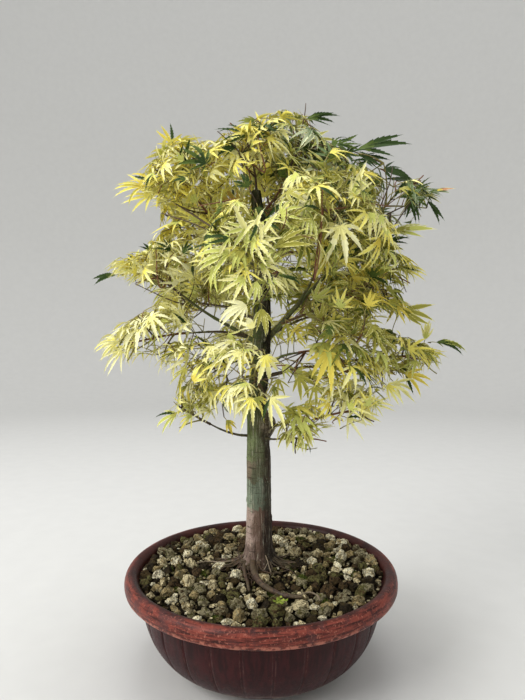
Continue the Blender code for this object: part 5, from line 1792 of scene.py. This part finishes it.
def rim_rows(count):
    """The rolled rim, from its inner edge over the top to its underside."""
    centre = RIM_RADIUS - RIM_WIDTH / 2
    rows = []
    for k in range(count):
        a = math.radians(mix(180, -80, k / (count - 1)))
        power = RIM_SQUARENESS if a < 0 else 1.0
        out = math.copysign(abs(math.cos(a)) ** power, math.cos(a))
        up = math.copysign(abs(math.sin(a)) ** power, math.sin(a))
        rows.append((centre + RIM_WIDTH / 2 * out, POT_HEIGHT - RIM_DEPTH / 2 * (1 - up)))
    return rows


def bowl_angles():
    """Directions round the bowl, close together where a groove runs down it."""
    angles = []
    for flute in range(FLUTES):
        groove = GROOVE_TURN + math.tau * flute / FLUTES
        near = [step * 0.001 / BOWL_TOP_RADIUS for step in GROOVE_STEPS]
        span = math.tau / FLUTES - near[-1] * 2
        plain = [near[-1] + span * (k + 1) / (PLAIN_STEPS + 1) for k in range(PLAIN_STEPS)]
        angles += [groove + a for a in near + plain]
    return angles


def groove_depth(angle, radius, z):
    """How deep the wall is cut at a place: a groove on each flute, fading out at its ends."""
    pitch = math.tau / FLUTES
    turn = (angle - GROOVE_TURN + pitch / 2) % pitch - pitch / 2
    flute = round((angle - GROOVE_TURN - turn) / pitch)
    wander = GROOVE_WANDER * noise.noise(Vector((flute * 3.7, z * 30, 0.0)))
    off = (turn * radius + wander) / GROOVE_WIDTH
    if abs(off) > 4:
        return 0.0
    fade = min(1.0, max(0.0, (z - GROOVE_START) / GROOVE_FADE))
    fade *= min(1.0, max(0.0, (GROOVE_END - z) / GROOVE_END_FADE))
    depth = GROOVE_DEPTH * (0.8 + 0.4 * noise.noise(Vector((flute * 1.9, z * 45, 4.0))))
    return depth * fade * math.exp(-off * off)


def make_pot(material):
    """The thrown bowl: rolled rim, grooved wall, turned foot and a plain hollow inside."""
    outer = bowl_rows(FOOT_HEIGHT, BOWL_SHOULDER, BOWL_FOOT_RADIUS, BOWL_TOP_RADIUS, WALL_ROWS)
    inner = bowl_rows(INNER_FLOOR, BOWL_SHOULDER, BOWL_FOOT_RADIUS - 2 * WALL,
                      BOWL_TOP_RADIUS - WALL, INNER_ROWS)
    profile = [(0.004, INNER_FLOOR)] + inner[::-1] + rim_rows(RIM_ROWS)
    wall_start = len(profile)
    profile += [*outer, *FOOT_ROWS]
    angles = bowl_angles()
    points = []
    for row, (radius, z) in enumerate(profile):
        on_wall = wall_start <= row < wall_start + len(outer)
        on_rim = z > BOWL_SHOULDER - 0.003 and radius > BOWL_TOP_RADIUS - 0.001
        for a in angles:
            around = outward(a)
            r = radius - (groove_depth(a, radius, z) if on_wall else 0.0)
            for size, fine, up in WALL_NOISE if on_wall else RIM_NOISE if on_rim else ():
                r += size * noise.noise(around * fine + UP * z * up)
            points.append((r * around.x, r * around.y, z))
    soup = Soup()
    soup.add(points, ring_faces(len(profile), len(angles)))
    pot = soup.piece("bowl", [material])
    pot.data.set_sharp_from_angle(angle=math.radians(50))
    on_tree(pot, "glaze", "pot")


# Gravel

Stone = namedtuple("Stone", "x y z size")
STONE_TONES = {
    "cream": (236, 225, 190), "beige": (206, 192, 152), "sand": (156, 138, 98),
    "grey": (134, 126, 98), "olive": (92, 88, 52), "brown": (72, 56, 36),
    "dark": (40, 33, 22),
}
STONE_SHARES = (13, 18, 16, 15, 16, 14, 8)
STONE_FOOT_TONE = list(STONE_TONES).index("dark")
STONE_KINDS = 16
# The photograph's largest stones: place and radius
LARGE_STONES = ((0.056, -0.016, 0.0085), (0.049, -0.038, 0.0075), (0.086, -0.058, 0.0080),
                (-0.020, -0.086, 0.0066), (0.012, -0.094, 0.0068), (-0.066, -0.040, 0.0066),
                (0.060, 0.040, 0.0078), (-0.050, 0.058, 0.0072), (0.002, 0.080, 0.0078))
# Sizes of stone laid down in turn: radius, tries, how far they may sink
STONE_GRADES = ((0.0062, 400, 0.10), (0.0049, 1500, 0.25), (0.0037, 3200, 0.40),
                (0.0027, 5200, 0.60), (0.0017, 5200, 0.70))
STONES_APART = 0.92
STONE_CELL = 0.012
STONE_SPREAD = (0.84, 1.18)
SINK_SPREAD = (-0.4, 1.6)
# Shares of a stone's radius that must lie inside the rim, and clear of the roots
RIM_SHARE = 0.75
ROOT_SHARE = 0.45
STONE_FOOT_DEPTH = 0.0006
PATCH_FINENESS = 2.6
PATCH_LEVEL = 0.20
STONE_CUTS = 11
CUT_DEPTHS = (0.55, 0.88)
# Roughness of a stone: height, how fine it is, step from one shape to the next
STONE_NOISE = ((0.22, 2.6, 9), (0.15, 7.0, 5), (0.07, 13.0, 3))
# Half sizes of a stone, as shares of its radius
STONE_SIZES = ((0.85, 1.12), (0.80, 1.10), (0.66, 0.95))
STONE_SWELL = 1.12
# Pieces of the gravel, and the size that their stones are above
STONE_PIECES = {"gravel_large": 0.0054, "gravel_medium": 0.0030, "gravel_small": 0.0}
BED_SIDES = 96
BED_RINGS = 34
BED_OVERLAP = 0.0008
GRIT_HEIGHT = 0.0008
# Bare soil between the roots: centre and half sizes, and the largest stone that lies there
BARE_SPOTS = ((0.022, -0.028, 0.017, 0.019), (-0.024, -0.018, 0.010, 0.012),
              (0.022, 0.004, 0.010, 0.012), (-0.004, -0.052, 0.014, 0.010))
BARE_STONE = 0.0030
# Moss between the stones: place and half width
MOSS_SPOTS = ((0.042, 0.069, 0.0075), (0.037, -0.030, 0.0060), (0.022, 0.002, 0.0080),
              (-0.025, 0.002, 0.0065), (-0.055, -0.022, 0.0070), (-0.035, -0.099, 0.0050),
              (-0.076, -0.052, 0.0055), (0.030, -0.008, 0.0060), (-0.060, 0.034, 0.0060),
              (0.076, 0.014, 0.0055), (-0.016, 0.074, 0.0060), (0.088, -0.020, 0.0050),
              (0.052, -0.070, 0.0050), (-0.090, -0.008, 0.0055), (0.010, -0.060, 0.0050))
MOSS_BLADES = 150
MOSS_MOUND = 0.0022
MOSS_LEAN = 0.5
MOSS_LENGTHS = (0.0016, 0.0034)
MOSS_WIDTH = 0.00042
MOSS_COLOURS = (4, 4, 2)
WEED_PLACE = (0.0152, -0.084)
WEED_LEAVES = 13
WEED_TURNS = 2.4
WEED_TILT = 0.35
WEED_HEIGHT = 0.0030
WEED_REACHES = (0.0012, 0.0068)
WEED_SIZES = (0.0011, 0.0019)
WEED_SIDES = 8
WEED_WAVE = 0.25
WEED_DOME = 0.12
WEED_STEM = (0.0003, 0.0002)


def near_root(x, y):
    """Distance from a point on the ground to the nearest root or to the trunk's foot."""
    foot = TRUNK_STATIONS[0]
    best = math.hypot(x - foot[1], y - foot[2]) - foot[3] - FLARE_RADIUS
    spot = Vector((x, y))
    for points, start, end in ROOTS.values():
        for a, b in zip(points, points[1:]):
            a, b = Vector(a), Vector(b)
            t = max(0.0, min(1.0, (spot - a).dot(b - a) / (b - a).length_squared))
            best = min(best, (spot - a.lerp(b, t)).length - mix(start, end, 0.5))
    return best


def ground_level(x, y):
    """Height of the soil, which falls towards the rim and swells a little."""
    share = min(1.0, math.hypot(x, y) / SOIL_RADIUS)
    swell = SWELL_HEIGHT * noise.noise(Vector((x, y, 0.0)) / SWELL_LENGTH)
    return mix(GROUND, SOIL_EDGE, share**SOIL_POWER) + swell * min(1.0, (1 - share) * 6)


def on_bare_soil(x, y):
    return any(math.hypot((x - u) / a, (y - v) / b) < 1 for u, v, a, b in BARE_SPOTS)


def lay_stones():
    """Stones of falling size, each where the ones before leave room."""
    rng = random.Random("gravel")
    grid = {}
    stones = []

    def cell(x, y):
        return math.floor(x / STONE_CELL), math.floor(y / STONE_CELL)

    def free(x, y, size):
        column, row = cell(x, y)
        for i in (-1, 0, 1):
            for j in (-1, 0, 1):
                for stone in grid.get((column + i, row + j), ()):
                    least = STONES_APART * (stone.size + size)
                    if (x - stone.x) ** 2 + (y - stone.y) ** 2 < least * least:
                        return False
        return True

    def lay(x, y, size, sink):
        z = ground_level(x, y) - sink * size
        stone = Stone(x, y, z, size)
        stones.append(stone)
        grid.setdefault(cell(x, y), []).append(stone)

    for x, y, size in LARGE_STONES:
        lay(x, y, size, 0.0)
    for radius, tries, sink in STONE_GRADES:
        for _ in range(tries):
            a = rng.uniform(0, math.tau)
            far = SOIL_RADIUS * math.sqrt(rng.random())
            size = radius * rng.uniform(*STONE_SPREAD)
            x, y = far * math.cos(a), far * math.sin(a)
            if far + size * RIM_SHARE > SOIL_RADIUS or near_root(x, y) < size * ROOT_SHARE:
                continue
            if size > BARE_STONE and on_bare_soil(x, y):
                continue
            if free(x, y, size):
                lay(x, y, size, sink * rng.uniform(*SINK_SPREAD))
    return stones


def stone_shapes(subdivisions, seed):
    """Broken stones: balls cut by flat planes and roughened."""
    bm = bmesh.new()
    bmesh.ops.create_icosphere(bm, subdivisions=subdivisions, radius=1.0)
    ball = as_rows(v.co for v in bm.verts)
    faces = [tuple(v.index for v in f.verts) for f in bm.faces]
    bm.free()
    rng = np.random.default_rng(seed)
    shapes = []
    for kind in range(STONE_KINDS):
        points = ball.copy()
        for _ in range(STONE_CUTS):
            way = rng.normal(0, 1, 3)
            way /= np.linalg.norm(way)
            over = points @ way - rng.uniform(*CUT_DEPTHS)
            points -= np.maximum(over, 0)[:, None] * way[None]
        rough = 1
        for height, fine, step in STONE_NOISE:
            rough = rough + height * np.array(
                [noise.noise(Vector(p) * fine + UP * (kind * step)) for p in ball])
        points *= rough[:, None]
        shapes.append(points)
    return shapes, faces


def make_bed(material):
    """The dark grit under the stones."""
    points = []
    for k in range(1, BED_RINGS + 1):
        far = (SOIL_RADIUS + BED_OVERLAP) * k / BED_RINGS
        for i in range(BED_SIDES):
            a = math.tau * i / BED_SIDES
            x, y = far * math.cos(a), far * math.sin(a)
            grit = GRIT_HEIGHT * noise.noise(Vector((x, y, 0)) * 420)
            points.append((x, y, ground_level(x, y) - BED_DEPTH + grit))
    soup = Soup()
    soup.add(points, ring_faces(BED_RINGS, BED_SIDES, False) + [tuple(range(BED_SIDES))])
    on_tree(soup.piece("gravel_bed", [material]), "gravel", "soil")


def make_gravel():
    """Stones of several tones, each with a second tone in patches and a darker foot below the
    soil's level.
    """
    looks = [stone_material(name, colour) for name, colour in STONE_TONES.items()]
    rng = random.Random("stone looks")
    coarse = stone_shapes(3, 6)
    small = stone_shapes(2, 7)
    groups = {name: Soup() for name in STONE_PIECES}
    for stone in lay_stones():
        group = next(name for name, above in STONE_PIECES.items() if stone.size > above)
        shapes, faces = small if group == "gravel_small" else coarse
        shape = shapes[rng.randrange(STONE_KINDS)]
        turn = Matrix.Rotation(rng.uniform(0, math.tau), 3, any_way(rng).normalized())
        scale = np.array([rng.uniform(*span) for span in STONE_SIZES]) * stone.size * STONE_SWELL
        placed = (shape * scale) @ np.array(turn.transposed())
        placed += np.array((stone.x, stone.y, stone.z))
        tone = rng.choices(range(len(STONE_TONES)), STONE_SHARES)[0]
        other = min(len(STONE_TONES) - 1, tone + rng.choice((1, 1, 2)))
        offset = UP * rng.uniform(0, 90)
        middles = placed[np.array(faces)].mean(axis=1)
        # Faces below the soil's level take the darkest tone, so each stone is darker at its foot.
        damp = middles[:, 2] < ground_level(stone.x, stone.y) - STONE_FOOT_DEPTH
        patch = [noise.noise(Vector(shape[f[0]]) * PATCH_FINENESS + offset) > PATCH_LEVEL
                 for f in faces]
        slots = [STONE_FOOT_TONE if d else other if p else tone for d, p in zip(damp, patch)]
        groups[group].add(placed, faces, slots)
    for name, group in groups.items():
        on_tree(group.piece(name, looks, smooth=False), "gravel")


def add_blade(soup, root, way, length, width, slot):
    """A tiny pointed blade of three faces."""
    side = across(way, 0.0)
    other = way.cross(side)
    ring = [root + (side * math.cos(a) + other * math.sin(a)) * width
            for a in (0.0, math.tau / 3, 2 * math.tau / 3)]
    soup.add(as_rows(ring + [root + way * length]), [(0, 1, 3), (1, 2, 3), (2, 0, 3)], slot)


def add_moss(soup, rng):
    """Tufts of moss between the stones."""
    for x, y, half in MOSS_SPOTS:
        for _ in range(MOSS_BLADES):
            a = rng.uniform(0, math.tau)
            far = half * math.sqrt(rng.random())
            u, v = x + far * math.cos(a), y + far * math.sin(a)
            mound = MOSS_MOUND * (1 - (far / half) ** 2)
            root = Vector((u, v, ground_level(u, v) - MOSS_MOUND + mound))
            way = Vector((rng.gauss(0, MOSS_LEAN), rng.gauss(0, MOSS_LEAN), 1)).normalized()
            add_blade(soup, root, way, rng.uniform(*MOSS_LENGTHS), MOSS_WIDTH,
                      rng.choices((0, 1, 2), MOSS_COLOURS)[0])


def add_weed(soup, rng):
    """One small weed with round leaves."""
    x, y = WEED_PLACE
    ground = ground_level(x, y)
    turns = [math.tau * i / WEED_SIDES for i in range(WEED_SIDES)]
    faces = [(i, (i + 1) % WEED_SIDES, WEED_SIDES) for i in range(WEED_SIDES)]
    for k in range(WEED_LEAVES):
        a = math.tau * k / WEED_LEAVES * WEED_TURNS
        way = Vector((math.cos(a), math.sin(a), WEED_TILT)).normalized()
        reach = mix(*WEED_REACHES, k / WEED_LEAVES)
        heart = Vector((x, y, ground + WEED_HEIGHT)) + way * reach
        side = way.cross(UP).normalized()
        up = side.cross(way)
        size = rng.uniform(*WEED_SIZES)
        ring = [heart + (way * math.cos(t) + side * math.sin(t)) * size
                + up * size * WEED_WAVE * math.cos(2 * t) for t in turns]
        middle = heart + up * size * WEED_DOME
        soup.add(as_rows(ring + [middle]), faces, 3 if k % 3 else 4)
        add_tube(soup, [Vector((x, y, ground - 0.001)), heart], WEED_STEM, 4, 1)


def make_moss():
    """The moss and the weed, as one piece."""
    rng = random.Random("moss")
    moss = Soup()
    add_moss(moss, rng)
    add_weed(moss, rng)
    looks = [new_material(*look) for look in MOSS_LOOKS]
    on_tree(moss.piece("moss", looks, smooth=False), "leaf_green")


# Studio

STAGE_RADIUS = 3.4
STAGE_HEIGHT = 3.2
STAGE_BEND = 1.2
STAGE_STEPS = 12
STAGE_SIDES = 96
# Lights: name, place, what it points at, size, power, colour
LIGHTS = (("window", (-1.7, -1.1, 1.5), (0, 0, 0.30), 1.3, 43, (1.0, 0.995, 0.98)),
          ("fill", (1.6, -1.5, 1.0), (0, 0, 0.28), 1.6, 2, (0.98, 0.99, 1.0)),
          ("top", (0.0, 0.3, 2.2), (0, 0, 0.3), 1.4, 14, (1.0, 1.0, 1.0)))
SKY_COLOUR = (0.95, 0.95, 0.95, 1.0)
SKY_STRENGTH = 0.88


def make_stage(material):
    """A pale floor that curves up all round into a wall."""
    flat = STAGE_RADIUS - STAGE_BEND
    profile = [(0.001, 0.0), (0.6, 0.0), (1.2, 0.0), (flat, 0.0)]
    for k in range(1, STAGE_STEPS + 1):
        a = 0.5 * math.pi * k / STAGE_STEPS
        profile.append((flat + STAGE_BEND * math.sin(a), STAGE_BEND - STAGE_BEND * math.cos(a)))
    profile.append((STAGE_RADIUS, STAGE_HEIGHT))
    turns = [math.tau * i / STAGE_SIDES for i in range(STAGE_SIDES)]
    points = [(r * math.cos(a), r * math.sin(a), z) for r, z in profile for a in turns]
    faces = ring_faces(len(profile), STAGE_SIDES, False) + [tuple(range(STAGE_SIDES))]
    soup = Soup()
    soup.add(points, faces)
    soup.piece("studio_floor", [material])


def add_light(name, place, aim, size, power, colour):
    data = bpy.data.lights.new(name, "AREA")
    data.size = size
    data.energy = power
    data.color = colour
    light = bpy.data.objects.new(name, data)
    light.location = place
    light.rotation_euler = (Vector(aim) - Vector(place)).to_track_quat("-Z", "Y").to_euler()
    bpy.context.scene.collection.objects.link(light)


def make_studio():
    make_stage(floor_material())
    for light in LIGHTS:
        add_light(*light)
    world = bpy.data.worlds.new("studio")
    bpy.context.scene.world = world
    world.use_nodes = True
    sky = world.node_tree.nodes["Background"]
    sky.inputs["Color"].default_value = SKY_COLOUR
    sky.inputs["Strength"].default_value = SKY_STRENGTH
    bpy.context.scene.view_settings.view_transform = "Standard"


def make_camera():
    data = bpy.data.cameras.new("camera")
    data.lens = CAMERA_LENS
    data.sensor_width = CAMERA_SENSOR
    data.clip_start = 0.01
    camera = bpy.data.objects.new("camera", data)
    camera.location = CAMERA_PLACE
    camera.rotation_euler = (math.radians(90), 0, 0)
    bpy.context.scene.collection.objects.link(camera)
    bpy.context.scene.camera = camera


def main():
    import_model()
    make_camera()
    make_studio()
    lines = all_bough_lines()
    make_trunk(trunk_material())
    make_roots([limb_material(*look) for look in ROOT_LOOKS])
    make_boughs(lines, [limb_material(*look) for look in BOUGH_LOOKS.values()])
    taken = set()
    leaf_looks = leaf_materials()
    twig_looks = [new_material(*look) for look in TWIG_LOOKS]
    for name in MASSES:
        make_mass(name, lines, taken, leaf_looks, twig_looks)
    make_pot(glaze_material())
    make_bed(bed_material())
    make_gravel()
    make_moss()


main()
